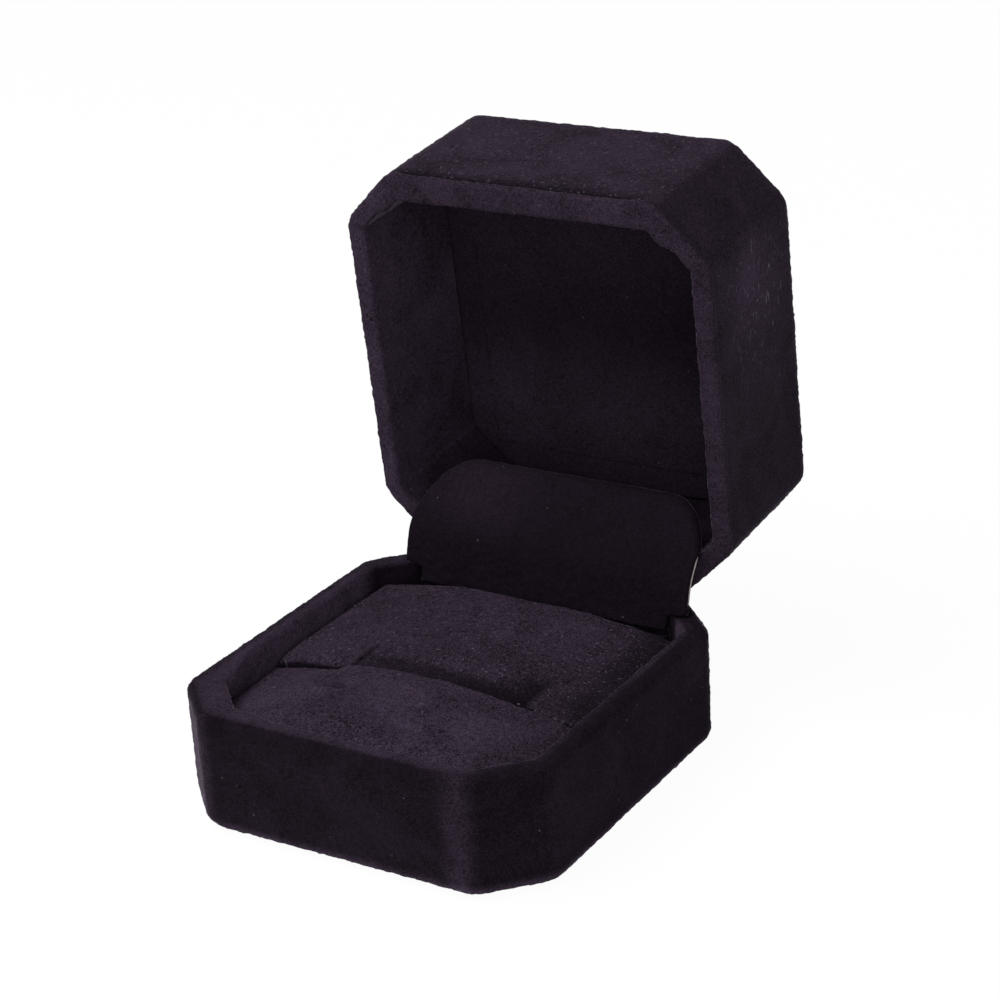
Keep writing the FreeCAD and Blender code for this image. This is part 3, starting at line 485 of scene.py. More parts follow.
def card_material():
    """Pale grey-brown card with fibres."""
    look = Look("card")
    fibre = look.noise(look.place(), 1800.0, 4.0)
    share = look.spread(fibre, 0.3, 0.7, 0.0, 1.0)
    colour = look.mix(share, (0.2, 0.17, 0.17, 1.0), (0.36, 0.32, 0.31, 1.0))
    return look.finish({"Base Color": colour, "Roughness": 0.9}, fibre, 0.3, 0.00005)


def plastic_material():
    """Black moulded plastic, lightly grained."""
    look = Look("shell_plastic")
    grain = look.noise(look.place(), 2600.0, 2.0)
    colour = look.mix(grain, (0.012, 0.012, 0.014, 1.0), (0.022, 0.022, 0.024, 1.0))
    rough = look.spread(grain, 0.2, 0.8, 0.42, 0.58)
    return look.finish({"Base Color": colour, "Roughness": rough}, grain, 0.15, 0.00003)


def felt_material():
    """Black felt with loose grey fibres."""
    look = Look("felt")
    fibre = look.noise(look.place(), 1500.0, 5.0, 1.5)
    share = look.spread(fibre, 0.35, 0.75, 0.0, 1.0)
    colour = look.mix(share, (0.008, 0.007, 0.009, 1.0), (0.045, 0.04, 0.046, 1.0))
    return look.finish({"Base Color": colour, "Roughness": 1.0, "Sheen Weight": 0.2}, fibre, 0.6, 0.00012)


def foam_material():
    """Open grey foam."""
    look = Look("foam")
    cells = look.cells(look.place(), 1800.0)
    colour = look.mix(cells, (0.03, 0.03, 0.034, 1.0), (0.1, 0.1, 0.11, 1.0))
    return look.finish({"Base Color": colour, "Roughness": 0.95}, cells, 0.5, 0.0001)


def steel_material():
    """Nickel-plated spring steel, drawn marks along X."""
    look = Look("hinge_steel")
    drawn = look.noise(look.stretched(look.place(), (0.06, 1.0, 1.0)), 2600.0, 3.0)
    colour = look.mix(drawn, (0.42, 0.4, 0.38, 1.0), (0.6, 0.58, 0.55, 1.0))
    rough = look.spread(drawn, 0.2, 0.8, 0.26, 0.44)
    return look.finish({"Base Color": colour, "Metallic": 1.0, "Roughness": rough}, drawn, 0.1, 0.00002)


WHITE = (1.0, 1.0, 1.0, 1.0)
DEEP = (0.0042, 0.0024, 0.0046, 1.0)
BRIGHT = (0.034, 0.0232, 0.0385, 1.0)
FIBRE = (0.095, 0.082, 0.105, 1.0)
SHEEN = (0.62, 0.5, 0.66, 1.0)
VELVET_LOOK = velvet_material("velvet", grain=1.3, sheen=0.3)
PAD_LOOK = velvet_material("pad_velvet", grain=1.8, lint=0.16)
FLAP_LOOK = velvet_material("flap_velvet", patchiness=0.1, sheen=0.15)
LINING_LOOK = velvet_material("lining_velvet", patchiness=0.08)
STEEL_LOOK = steel_material()
NODE_LOOKS = (
    (plastic_material(), ("base_shell", "lid_shell")),
    (card_material(), ("foot_board", "insert_board", "lid_lining_board", "flap_card", "flap_anchor")),
    (felt_material(), ("foot_felt",)),
    (foam_material(), ("front_foam", "rear_foam")),
    (STEEL_LOOK, ("hinge_leaf_base", "hinge_leaf_lid", "hinge_pin", "hinge_rivets_base", "hinge_rivets_lid",
                  "hinge_spring")),
)
for node_look, node_names in NODE_LOOKS:
    for node_name in node_names:
        node_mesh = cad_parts[node_name].data
        node_mesh.materials.clear()
        node_mesh.materials.append(node_look)


# Velvet wraps


def at_hinge(points):
    """Marks the points of a wrap at the rear, where the hinge needs room."""
    return (np.abs(points[:, 0]) < NOTCH_HALF) & (points[:, 1] > NOTCH_FRONT)


def base_nap_and_light(points, normals, inset):
    """How pale the base's velvet is painted, the lie of its pile with painted light and shade: open on the
    front rim, flat and darker on the right, a painted highlight by the front cut.
    """
    x, y, z = points.T
    across = normals[:, 0]
    outside = inset < 1.6
    on_front = y < -HALF_D + 1.0
    # Outer walls: painted light, paler on the left-facing walls and the front left corner where the light
    # falls, darker on the right cut.
    left = smooth_step(-across, 0.35, 0.8) * outside
    right = smooth_step(across, 0.35, 0.8) * outside
    corner = (1 - smooth_step(x, -20.3, -18.2)) * on_front
    right_cut = smooth_step(across, *TURNING) * (1 - smooth_step(across, *SQUARELY))
    # Painted highlight by the front right cut and along the foot's rounded edge.
    by_cut = bell(x, 18.6, 2.0) * on_front
    foot_highlight = 1 - smooth_step(z, FOOT + 0.3, FOOT + 2.2)
    wall = 0.15 + 0.02 * right + 0.3 * np.maximum(left, corner) - 0.08 * right_cut
    wall = wall + 0.3 * by_cut + foot_highlight

    to_right = smooth_step(x + 0.45 * y, 4.5, 11.5)
    to_left = smooth_step(-x, 18.0, 24.0)
    ahead = np.maximum(smooth_step(-y, 24.5, 25.2), smooth_step(-x - y, 42.5, 43.5)) * (1 - to_right)
    rear = smooth_step(y, 15.0, 20.0)
    wall = wall - 0.06 * ahead * smooth_step(z, RIM - 4.0, RIM - 1.0)

    # Rim top: painted light, paler where it faces up, darker to the right and towards the rear, with a
    # painted highlight along the right rim's inner edge.
    top = 0.3 + 0.16 * ahead + (0.42 - 0.16 * ahead) * smooth_step(inset, 0.8, 2.2)
    top = top * (1 - to_right) + (0.1 + 0.2 * smooth_step(inset, 1.6, 2.4)) * to_right - 0.06 * to_left
    rim_highlight = between(inset, 1.7, 2.1, 2.6, 2.95) * smooth_step(x, 21.5, 23.0)
    rim_highlight = rim_highlight * between(y, -6.0, 12.0, 20.0, 23.0)
    top = top + 0.24 * rim_highlight - 0.25 * rear * smooth_step(inset, 1.3, 2.3)

    # Inner walls: painted lighter where they stand in shade, most on the left and at the rear right.
    inner = 0.4 + 1.25 * smooth_step(across, 0.3, 0.8) * (1 - rear)
    inner = inner + (1.4 * smooth_step(x, 10.0, 14.0) - 0.25) * rear
    side = np.where(inset > WALL - 0.5, inner, wall)
    rim = smooth_step(z, RIM - 0.8, RIM - 0.05)
    rim = rim + (np.minimum(smooth_step(inset, 0.75, 1.2), rim) - rim) * ahead
    return side + (top - side) * rim


def base_wrap():
    """The velvet round the base: foot, outside, rim and inside, with a plain hidden back."""
    face = rounded_line([(WALL, FOOT, 0), (0, FOOT, FOOT_ROUND), (0, RIM, RIM_ROUND),
                         (WALL, RIM, BASE_BAND_IN), (WALL, FLOOR, 0)], CELL)
    back = np.array([(WALL - VELVET, FLOOR), (WALL - VELVET, SHELL_RIM), (VELVET, SHELL_RIM),
                     (VELVET, FOOT + FOOT_ROUND), (FOOT_ROUND, FOOT + VELVET), (WALL, FOOT + VELVET)])
    section = np.concatenate([face, back])
    points, columns, _, _ = sweep(section, BASE_CORNER, CELL)
    faces = grid_faces(columns, len(section), True, True)
    row = np.arange(len(section))
    weight = np.tile((row > 0) & (row < len(face) - 1), columns).astype(float)
    inset = np.tile(section[:, 0], columns)
    x, y, z = points.T
    full = (1 - smooth_step(x + y, -44.0, -35.0)) * smooth_step(inset, 1.4, 3.0) * weight
    full = full * smooth_step(z, RIM - 6.0, RIM - 1.2)
    points = points + np.outer(CORNER_FULL * full, CORNER_WAY)
    raised, normals = add_pile(points, faces, weight, SEEDS["base"])
    notch = at_hinge(points)
    raised[notch, 2] = np.minimum(raised[notch, 2], SHELL_RIM - 0.02)
    piece = new_piece("base_velvet_nap", raised, faces, VELVET_LOOK, normals)
    set_field(piece, "nap_and_light", base_nap_and_light(points, normals, inset))
    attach(piece, "base")
    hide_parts("base_velvet")


def lid_nap_and_light(points, normals, inset):
    """How pale the lid's velvet is painted, in the shut lid, the lie of its pile with painted light and
    shade:
    pale rim band with painted sheen, open front, a combed patch on the right.
    """
    x, y, z = points.T
    across, ahead = normals[:, 0], -normals[:, 1]
    # Outer walls: painted light, each wall paler or darker by which way it faces the light, the right wall a
    # little paler in front and darker behind, and a painted highlight along the top edge.
    right, front = smooth_step(across, *SQUARELY), smooth_step(ahead, *SQUARELY)
    cut = smooth_step(across, *TURNING) * smooth_step(ahead, *TURNING)
    top_highlight = smooth_step(z, LID_TOP - 2.6, LID_TOP - 0.5) * (inset < TOP_ROUND)
    patch = bell(y, -13.5, 7.0) * bell(z, 29.5, 6.0)
    wall = 0.4 + 0.09 * front - 0.09 * cut - 0.07 * right + (0.3 + 0.25 * right) * top_highlight
    wall = wall + right * (0.38 * patch + 0.06 * smooth_step(-y, -20, 10) - 0.06 * smooth_step(y, 0, 18))

    # Inner walls: painted lighter where they stand in shade, most on the left, darker deep inside and towards
    # the rear.
    deep = smooth_step(z, LID_RIM + 2.0, LID_CEILING - 5.0)
    left_wall = 0.62 - 0.1 * deep - 0.06 * smooth_step(y, 2.0, 16.0)
    rear_wall = -0.28 * smooth_step(y, 10.0, 18.0)
    inner = 0.45 + left_wall * smooth_step(across, *ROUGHLY) + rear_wall * smooth_step(ahead, *ROUGHLY)

    side = np.where(inset > LID_WALL - 0.25, inner, wall)
    # Rim band: painted sheen, paler on the left and less on the right.
    band = (1 - smooth_step(z, LID_RIM + 0.3, LID_RIM + 0.8)) * (inset < LID_WALL - 0.1)
    band_sheen = 0.59 + 0.2 * smooth_step(-x, 19.0, 24.0) - 0.09 * smooth_step(x, 10.0, 24.0)
    return side + (band_sheen - side) * band


def lid_wrap():
    """The velvet over the lid: top, outside, rim and inside, with a plain hidden back."""
    face = rounded_line([(TOP_ROUND + 1.0, LID_TOP, 0), (0, LID_TOP, TOP_ROUND), (0, LID_RIM, LID_BAND_OUT),
                         (LID_WALL, LID_RIM, LID_BAND_IN), (LID_WALL, LID_CEILING, 0)], LID_CELL)
    by_crease = (face[:, 0] < 0.9) & (face[:, 1] < LID_RIM + 3.6)
    face = divided(face, np.where(by_crease[:-1] & by_crease[1:], 3, 1))
    back = np.array([(WALL - VELVET, LID_CEILING), (WALL - VELVET, LID_RIM + VELVET),
                     (VELVET, LID_RIM + VELVET), (VELVET, LID_TOP - TOP_ROUND),
                     (TOP_ROUND, LID_TOP - VELVET), (WALL, LID_TOP - VELVET)])
    section = np.concatenate([face, back])
    rows = len(section)
    points, columns, front_count, side_count = sweep(section, LID_CORNER, LID_CELL)
    first = np.arange(columns) * rows
    faces = [quad[::-1] for quad in grid_faces(columns, rows, True)]
    points, cap = capped(points, first, front_count, side_count)
    faces += cap
    faces.append(tuple(int(n) for n in reversed(first + rows - 1)))
    cap_count = len(points) - columns * rows
    weight = np.concatenate([np.tile(np.arange(rows) < len(face) - 1, columns), np.ones(cap_count)])
    inset = np.concatenate([np.tile(section[:, 0], columns), np.full(cap_count, TOP_ROUND)])

    roll = smooth_step(inset, 1.5, LID_WALL) * smooth_step(-points[:, 1], HALF_D - 6.2, HALF_D - 4.4) * weight
    roll = roll * (1 - smooth_step(points[:, 2], LID_RIM + 5.0, LID_RIM + 15.0))
    points[:, 1] += LID_ROLL * roll
    ways = mesh_normals(points, faces)
    on_front = smooth_step(-ways[:, 1], *ROUGHLY) * between(points[:, 0], -21.0, -17.0, 14.0, 21.0)
    crease = bell(points[:, 2], LID_RIM + CREASE_PLACE, CREASE_WIDTH) * (inset < 0.9)
    crease = crease * (0.2 + 0.8 * on_front) * (1 - smooth_step(ways[:, 1], 0.2, 0.6))
    points = points - ways * (CREASE_DEPTH * crease)[:, None]
    raised, normals = add_pile(points, faces, weight, SEEDS["lid"])
    notch = at_hinge(points)
    raised[notch, 2] = np.maximum(raised[notch, 2], LID_NOTCH_TOP)
    piece = new_piece("lid_velvet_nap", rotate_open(raised), faces, VELVET_LOOK, turn_open(normals))
    # The crease is painted darker as well: painted shade in its groove.
    set_field(piece, "nap_and_light", lid_nap_and_light(points, ways, inset) * (1 - 0.85 * crease))
    patch = bell(points[:, 1], -12.0, 9.0) * bell(points[:, 2], 31.0, 7.0)
    loose = patch * smooth_step(ways[:, 0], *SQUARELY) + 0.4 * smooth_step(-ways[:, 1], *SQUARELY)
    set_field(piece, "loose", loose * (inset < 0.6))
    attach(piece, "lid")
    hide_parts("lid_velvet")


base_wrap()
lid_wrap()


# Ring pad


def edge_steps(length, start_round, end_round, step, extra=()):
    """Places from 0 to a length: close together in the rounded ends, even between, with some places fixed."""
    quarter = np.linspace(0, math.pi / 2, 8)
    start = start_round * (1 - np.cos(quarter))
    end = length - end_round * (1 - np.cos(quarter))[::-1]
    count = max(2, round((end[0] - start[-1]) / step))
    even = np.linspace(start[-1], end[0], count + 1)[1:-1]
    for place in extra:
        even = even[np.abs(even - place) > 0.75 * step]
    return np.unique(np.round(np.concatenate([start, even, np.array(extra), end]), 6))


def round_drop(away, radius):
    """How far a rounded edge has come down at that distance from it."""
    inside = np.clip(radius - away, 0, radius)
    return radius - np.sqrt(np.maximum(radius * radius - inside * inside, 0))


def closed_block(top, columns, rows, foot):
    """Points and faces of a block under a grid of top points. Point number: column * rows + row."""
    faces = grid_faces(columns, rows)
    loop = [i * rows for i in range(columns)]
    loop += [(columns - 1) * rows + k for k in range(1, rows)]
    loop += [i * rows + rows - 1 for i in range(columns - 2, -1, -1)]
    loop += list(range(rows - 2, 0, -1))
    points = [top]
    count = len(top)
    above = loop
    edge = top[loop]
    for share in (0.08, 0.3, 0.65, 1.0):
        ring = edge.copy()
        ring[:, 2] = edge[:, 2] + (foot - edge[:, 2]) * share
        below = list(range(count, count + len(loop)))
        for n in range(len(loop)):
            m = (n + 1) % len(loop)
            faces.append((above[n], below[n], below[m], above[m]))
        points.append(ring)
        above = below
        count += len(loop)
    faces.append(tuple(above[::-1]))
    return np.concatenate(points), faces


def pad_plan(rear, low, high):
    """The grid of one half of the pad in plan, and how far the pad reaches to the sides at each point."""
    half = high[0]
    cuts, root = [], []
    if rear:
        shifts = (-2 * CUT_HALF, -CUT_HALF, CUT_HALF, 2 * CUT_HALF)
        cuts = [where + shift + half for where in (TONGUE_LEFT, TONGUE_RIGHT) for shift in shifts]
        root = [TONGUE_ROOT - low[1]]
    rounds = (LIP, REAR_ROLL) if rear else (FRONT_ROLL, LIP)
    across = edge_steps(2 * half, PAD_EDGE, PAD_EDGE, PAD_CELL, cuts) - half
    along = low[1] + edge_steps(high[1] - low[1], *rounds, PAD_CELL, root)
    s, y = np.meshgrid(across / half, along, indexing="ij")
    cut_sum = HALF_W + HALF_D - CORNER_CUT - (WALL + PAD_GAP) * math.sqrt(2)
    soft = 0.8
    over = half - np.minimum(half, cut_sum - np.abs(y))
    reach = half - (np.sqrt(over ** 2 + soft) - math.sqrt(soft))
    return s * reach, y, reach


def rear_form(x, y, z, close, low, high):
    """The rear half: pressed by the flap, its tongue cut free and sunk for the ring slot. Gives y and z, and
    how much pile and how much shade there is."""
    y = np.where(y < low[1] + LIP, y - close, y)
    y = y + 0.4 * smooth_step(y, high[1] - 2.0, high[1])
    z = np.minimum(z, FLAP_Z - 0.15 + (FLAP_Y - 1.0 - y) * FLAP_PRESS)
    across = np.clip((x - TONGUE_LEFT) / (TONGUE_RIGHT - TONGUE_LEFT), 0, 1)
    root = TONGUE_ROOT + 1.9 * smooth_step(across, 0.6, 1.0)
    inside = (x > TONGUE_LEFT - 0.01) & (x < TONGUE_RIGHT + 0.01) & (y < root + 0.01)
    fall = np.clip((root - y) / (root - low[1]), 0, 1)
    wedge = smooth_step(across, 0.7, 0.98) * smooth_step(fall, 0.0, 0.35) * inside
    z = z - (0.4 + 2.2 * across) * fall ** 1.4 * inside - 0.7 * wedge
    pile = np.ones(z.shape)
    shade = np.maximum(0.9 * wedge, smooth_step(fall, 0.3, 0.62) * (0.5 + 0.5 * across) * inside)
    for where, depth, dark in ((TONGUE_LEFT, 0.25, 0.5), (TONGUE_RIGHT, 1.2, 1.0)):
        cut = (np.abs(np.abs(x - where) - CUT_HALF) < 0.01) & (y < root - 0.2)
        z = z - depth * smooth_step(fall, 0.0, 0.5) * cut
        by_cut = bell(x, where, 0.7) * (y < root + 0.4) * smooth_step(fall, 0.0, 0.4)
        pile = pile * (1 - 0.85 * by_cut)
        shade = np.maximum(shade, dark * by_cut)
    return y, z, pile, shade


def front_form(x, y, z, close, low, high):
    """The front half: fuller ahead, with two small dents. Gives the same as the rear half."""
    y = np.where(y > high[1] - LIP, y + close, y)
    y = y - 0.5 * smooth_step(x, *FULLER) * smooth_step(low[1] + 2.5 - y, 0.0, 2.5)
    shade = np.zeros(z.shape)
    for dent_x, dent_y, size in PAD_DENTS:
        dent = bell(x, dent_x, 2.2 * size) * bell(y, dent_y, 0.7 * size)
        z = z - 0.45 * dent
        shade = np.maximum(shade, 0.6 * dent)
    return y, z, np.ones(z.shape), shade


def ring_pad(name, rear, nodes):
    """One half of the pad: crowned, rolled at its ends, pressed to its neighbour along the slit."""
    low, high = box_mm(nodes[0])
    seed = SEEDS[name]
    x, y, reach = pad_plan(rear, low, high)
    full = smooth_step(x, *FULLER)
    to_right = smooth_step(x, TONGUE_RIGHT, TONGUE_RIGHT + 3.0)
    from_slit = y - low[1] if rear else high[1] - y
    crest = RIM - REAR_CREST_DROP if rear else RIM + FRONT_CREST_RISE
    edge = RIM - REAR_EDGE_DROP if rear else RIM - FRONT_EDGE_DROP
    arch = crest - (crest - edge) * np.clip(np.abs(x) / (high[0] - PAD_EDGE), 0, 1) ** PAD_CROWN
    arch = arch - 0.9 * smooth_step(-x, 13.0, 23.0) * (1 - smooth_step(y, -9.0, 2.0))
    if rear:
        arch = arch + 0.45 * smooth_step(-x, 8.0, 14.0) * (1 - smooth_step(from_slit, 2.0, 9.0))
    else:
        arch = arch + 0.1 * smooth_step(-x, 8.0, 20.0) * smooth_step(y, -15.0, -8.0)
    dip = between(x, -22.0, -14.5, TONGUE_LEFT - 1.7, TONGUE_LEFT - 0.3)
    arch = arch - SLIT_DIP * dip * (1 - smooth_step(from_slit, 0.3, 3.6))
    side = round_drop(reach - np.abs(x), PAD_EDGE)
    ends = round_drop(from_slit, LIP * (1 - 0.7 * to_right))
    if rear:
        ends = ends + round_drop(high[1] - y, REAR_ROLL)
    else:
        ends = ends + round_drop(y - low[1], FRONT_ROLL) * (1 - 0.62 * full)
    z = arch - (side ** 3 + ends ** 3) ** (1 / 3)
    flat = np.column_stack([x.ravel(), y.ravel(), np.zeros(x.size)])
    for height, size, shift in ((0.16, 9.0, 7), (0.07, 3.4, 8)):
        z = z + height * lattice_noise(flat, size, seed + shift).reshape(z.shape)

    in_tongue = between(x, TONGUE_LEFT - 1.5, TONGUE_LEFT, TONGUE_RIGHT, TONGUE_RIGHT + 1.5)
    close = (0.385 * to_right - 0.1) * (1 - in_tongue) * smooth_step(ends, 0.0, 0.2)
    form = rear_form if rear else front_form
    y, z, pile, shade = form(x, y, z, close, low, high)
    top = np.column_stack([x.ravel(), y.ravel(), z.ravel()])
    points, faces = closed_block(top, *y.shape, PAD_FOOT)
    hidden = len(points) - len(top)
    pile = pile * (1 - 0.5 * smooth_step(side + ends, 0.3, 1.5))
    weight = np.concatenate([pile.ravel(), np.zeros(hidden)])
    points, normals = add_pile(points, faces, weight, seed, PAD_PILE, PAD_WAVE)

    # Painted shade: the pad darker to the right by the rim, on its rounded sides and ends, and on the lips
    # along the slit; the shade from the forms darkens the sunk tongue, its cuts and the dents.
    at_lip = round_drop(y - low[1] if rear else high[1] - y, LIP)
    level = (0.6 if rear else 0.74) - 0.18 * smooth_step(x, 13.0, 22.0)
    level = level - 0.22 * smooth_step(x, 17.5, 21.5) * smooth_step(y, -14.0, -2.0)
    level = level - 0.3 * smooth_step(side, 0.3, 1.6) - 0.6 * smooth_step(at_lip, 0.1, 0.45) * (1 - to_right)
    level = level - 0.3 * smooth_step(ends, 0.6, 2.0) * (1 - full)
    level = np.maximum(level * (1 - shade), 0.02)
    fibres = (0.5 if rear else 0.2) * (1 - shade)
    piece = new_piece(name, points, faces, PAD_LOOK, normals)
    set_field(piece, "nap_and_light", np.concatenate([level.ravel(), np.full(hidden, HIDDEN_NAP)]))
    set_field(piece, "loose", np.concatenate([fibres.ravel(), np.zeros(hidden)]))
    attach(piece, "base")
    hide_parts(*nodes)


ring_pad("front_pad", False, ("front_velvet", "front_foam"))
ring_pad("rear_pad", True, ("rear_velvet", "rear_foam"))


# Sheets with two sides


def open_edges(faces):
    """The directed edges that one face alone uses."""
    seen = {}
    for face in faces:
        for a, b in zip(face, face[1:] + face[:1]):
            seen[(a, b)] = True
    return [(a, b) for a, b in seen if (b, a) not in seen]


def two_sided(front, back, faces):
    """A closed sheet from its shown side and its hidden side."""
    count = len(front)
    closed = list(faces) + [tuple(n + count for n in reversed(face)) for face in faces]
    closed += [(b, a, a + count, b + count) for a, b in open_edges(faces)]
    return np.concatenate([front, back]), closed


def flap_place(run, offset):
    """Depth and height at a length along the flap's middle, stood off to the front."""
    low_lean, high_lean = math.radians(FLAP_LOW), math.radians(FLAP_HIGH)
    lean = np.clip(low_lean + (run - FLAP_LOW_LENGTH) / FLAP_BEND, low_lean, high_lean)
    straight = np.minimum(run, FLAP_LOW_LENGTH)
    over = np.maximum(run - FLAP_LOW_LENGTH - FLAP_BEND * (high_lean - low_lean), 0)
    y = FLAP_Y + straight * math.sin(low_lean) + FLAP_BEND * (math.cos(low_lean) - np.cos(lean))
    z = FLAP_Z + straight * math.cos(low_lean) + FLAP_BEND * (np.sin(lean) - math.sin(low_lean))
    y = y + over * math.sin(high_lean) - offset * np.cos(lean)
    z = z + over * math.cos(high_lean) + offset * np.sin(lean)
    return y, z


def flap_cover():
    """The velvet on the flap: it shows in front and turns over the card's left and top edges."""
    total = FLAP_LOW_LENGTH + FLAP_BEND * math.radians(FLAP_HIGH - FLAP_LOW) + FLAP_HIGH_LENGTH
    samples = np.linspace(-1, total + 6, 600)
    front_line = flap_place(samples, FLAP_THICK / 2)
    inner_line = flap_place(samples, FLAP_THICK / 2 - FLAP_VELVET)
    back_line = flap_place(samples, -FLAP_THICK / 2)

    def depth_at(height, share, line):
        """Depth at a height: 0 on that line, 1 on the card's back face."""
        ahead = np.interp(height, *reversed(line))
        return ahead + share * (np.interp(height, *reversed(back_line)) - ahead)

    crown = float(flap_place(total, -FLAP_THICK / 2)[1])
    foot_height = front_line[1][np.searchsorted(samples, 0)]
    corner_start = crown - FLAP_CORNER
    plain = np.linspace(foot_height, corner_start, round((corner_start - foot_height) / FLAP_CELL))[:-1]
    heights = np.concatenate([plain, corner_start + FLAP_CORNER * np.sin(np.linspace(0, math.pi / 2, 22))])
    ear = FLAP_EAR * smooth_step(heights, SHOULDER_LOW, SHOULDER_HIGH)
    rise = np.clip((heights - corner_start) / FLAP_CORNER, 0, 1)
    inset = FLAP_CORNER * (1 - np.sqrt(np.maximum(1 - rise * rise, 0)))
    left = FLAP_TAB_LEFT - ear + inset
    right = FLAP_TAB_RIGHT + ear - inset
    rows = len(heights)
    share = np.linspace(0, 1, FLAP_COLUMNS + 1)
    x = (left[None, :] + (right - left)[None, :] * share[:, None]).ravel()
    z = np.tile(heights, FLAP_COLUMNS + 1)
    faces = grid_faces(FLAP_COLUMNS + 1, rows)
    fronts = [np.column_stack([x, depth_at(z, 0, front_line), z])]
    backs = [np.column_stack([x, depth_at(z, 0, inner_line) - 0.03, z])]

    edge = list(range(rows)) + [i * rows + rows - 1 for i in range(1, FLAP_COLUMNS + 1)]
    edge += [FLAP_COLUMNS * rows + k for k in range(rows - 2, -1, -1)]
    edge_x, edge_z = x[edge], z[edge]
    step_x, step_z = np.gradient(edge_x), np.gradient(edge_z)
    length = np.hypot(step_x, step_z)
    out_x, out_z = -step_z / length, step_x / length
    on_right = edge_x > 0.5 * (left.min() + right.max())
    bare = between(edge_z, *CARD_BARE)
    grow = np.where(on_right, 1 - 0.6 * bare, 1.0)
    previous = edge
    count = len(x)
    for shown, hidden in zip(TURNED, UNDER):
        for (away, depth), store, line in ((shown, fronts, front_line), (hidden, backs, inner_line)):
            height = edge_z + out_z * away * grow
            ring = [edge_x + out_x * away * grow, depth_at(height, depth * grow, line), height]
            store.append(np.column_stack(ring))
        here = list(range(count, count + len(edge)))
        for n in range(len(edge) - 1):
            faces.append((previous[n], previous[n + 1], here[n + 1], here[n]))
        previous = here
        count += len(edge)
    weight = np.concatenate([np.ones(len(x)), np.full(count - len(x), 0.3)])
    front, _ = add_pile(np.concatenate(fronts), faces, weight, SEEDS["flap"], PILE, 0.06)
    points, closed = two_sided(front, np.concatenate(backs), faces)
    piece = new_piece("flap_velvet_nap", points, closed, FLAP_LOOK)
    # Painted highlight: a paler band on the left where the flap bends back, and the top painted paler where
    # it leans back to the light.
    patchiness = bell(front[:, 0], -12.0, 9.0) * smooth_step(front[:, 2], 21.0, 26.0)
    level = 0.06 + 0.15 * patchiness + 0.05 * smooth_step(front[:, 2], 24.0, 29.0)
    set_field(piece, "nap_and_light", np.concatenate([level, np.full(count, HIDDEN_NAP)]))
    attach(piece, "flap")
    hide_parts("flap_velvet")


def anchor_cover():
    """The velvet that comes down from the flap's crease over its anchor."""
    (left, ahead, _), (right, behind, top) = ANCHOR_LOW, ANCHOR_HIGH
    stand = 0.16
    line = rounded_line([(ahead - stand, top - 7.0, 0), (ahead - stand, top + stand, 0.3),
                         (behind + stand, top + stand, 0.3), (behind + stand, top - 1.5, 0)], 0.3)
    along = np.linspace(left, right, 121)
    across = np.concatenate([[left - 0.25, left - 0.24], along, [right + 0.24, right + 0.25]])
    narrow = np.concatenate([[0.08, 0.9], np.ones(len(along)), [0.9, 0.08]])
    rows = len(line)
    x = np.repeat(across, rows)
    middle = (ahead + behind) / 2
    depth = (middle + (line[None, :, 0] - middle) * narrow[:, None]).ravel()
    shown = np.column_stack([x, depth, np.tile(line[:, 1], len(across))])
    hidden = np.column_stack([np.clip(x, left - 0.06, right + 0.06), middle + (depth - middle) * 0.85,
                              np.minimum(shown[:, 2], top + 0.03)])
    faces = grid_faces(len(across), rows)
    shown, _ = add_pile(shown, faces, np.ones(len(shown)), SEEDS["anchor"], 0.03, 0.02)
    points, closed = two_sided(shown, hidden, faces)
    piece = new_piece("anchor_velvet_nap", points, closed, FLAP_LOOK)
    set_field(piece, "nap_and_light", np.full(len(points), 0.06))
    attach(piece, "base")


def lid_lining():
    """The dark velvet panel at the bottom of the lid."""
    spots, out, front_count, side_count = rounded_octagon(LID_WALL + 0.04, LID_CORNER, 0.0, 0.45)
    back_z = LID_CEILING - LINING_BOARD
    face_z = back_z - LINING_VELVET
    section = [(0.0, back_z), (0.0, face_z + 0.5), (0.14, face_z + 0.16), (0.5, face_z), (1.2, face_z - 0.02)]
    rows = len(section)
    columns = len(spots)
    rings = [np.column_stack([spots - out * away, np.full(columns, z)]) for away, z in section]
    points = np.stack(rings, axis=1).reshape(-1, 3)
    first = np.arange(columns) * rows
    points, cap = capped(points, first + rows - 1, front_count, side_count)
    faces = [quad[::-1] for quad in grid_faces(columns, rows, True) + cap]
    faces.append(tuple(int(n) for n in first))
    weight = (points[:, 2] < face_z + 0.3).astype(float)
    raised, normals = add_pile(points, faces, weight, SEEDS["lining"], PILE, 0.1)
    piece = new_piece("lid_lining_nap", rotate_open(raised), faces, LINING_LOOK, turn_open(normals))
    x, y = points[:, 0], points[:, 1]
    # Painted light: the lining paler towards the hinge and on the left where it stands in shade, and darker
    # across its middle.
    level = 0.4 - 0.17 * bell(y, -1.0, 8.0) + 0.12 * smooth_step(y, 4.0, 18.0)
    level = level + smooth_step(-x, 8.0, 20.0) * (0.12 + 0.14 * smooth_step(y, -2.0, 12.0))
    set_field(piece, "nap_and_light", level)
    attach(piece, "lid")
    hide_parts("lid_lining_velvet")


flap_cover()
anchor_cover()
lid_lining()


# Hinge spring


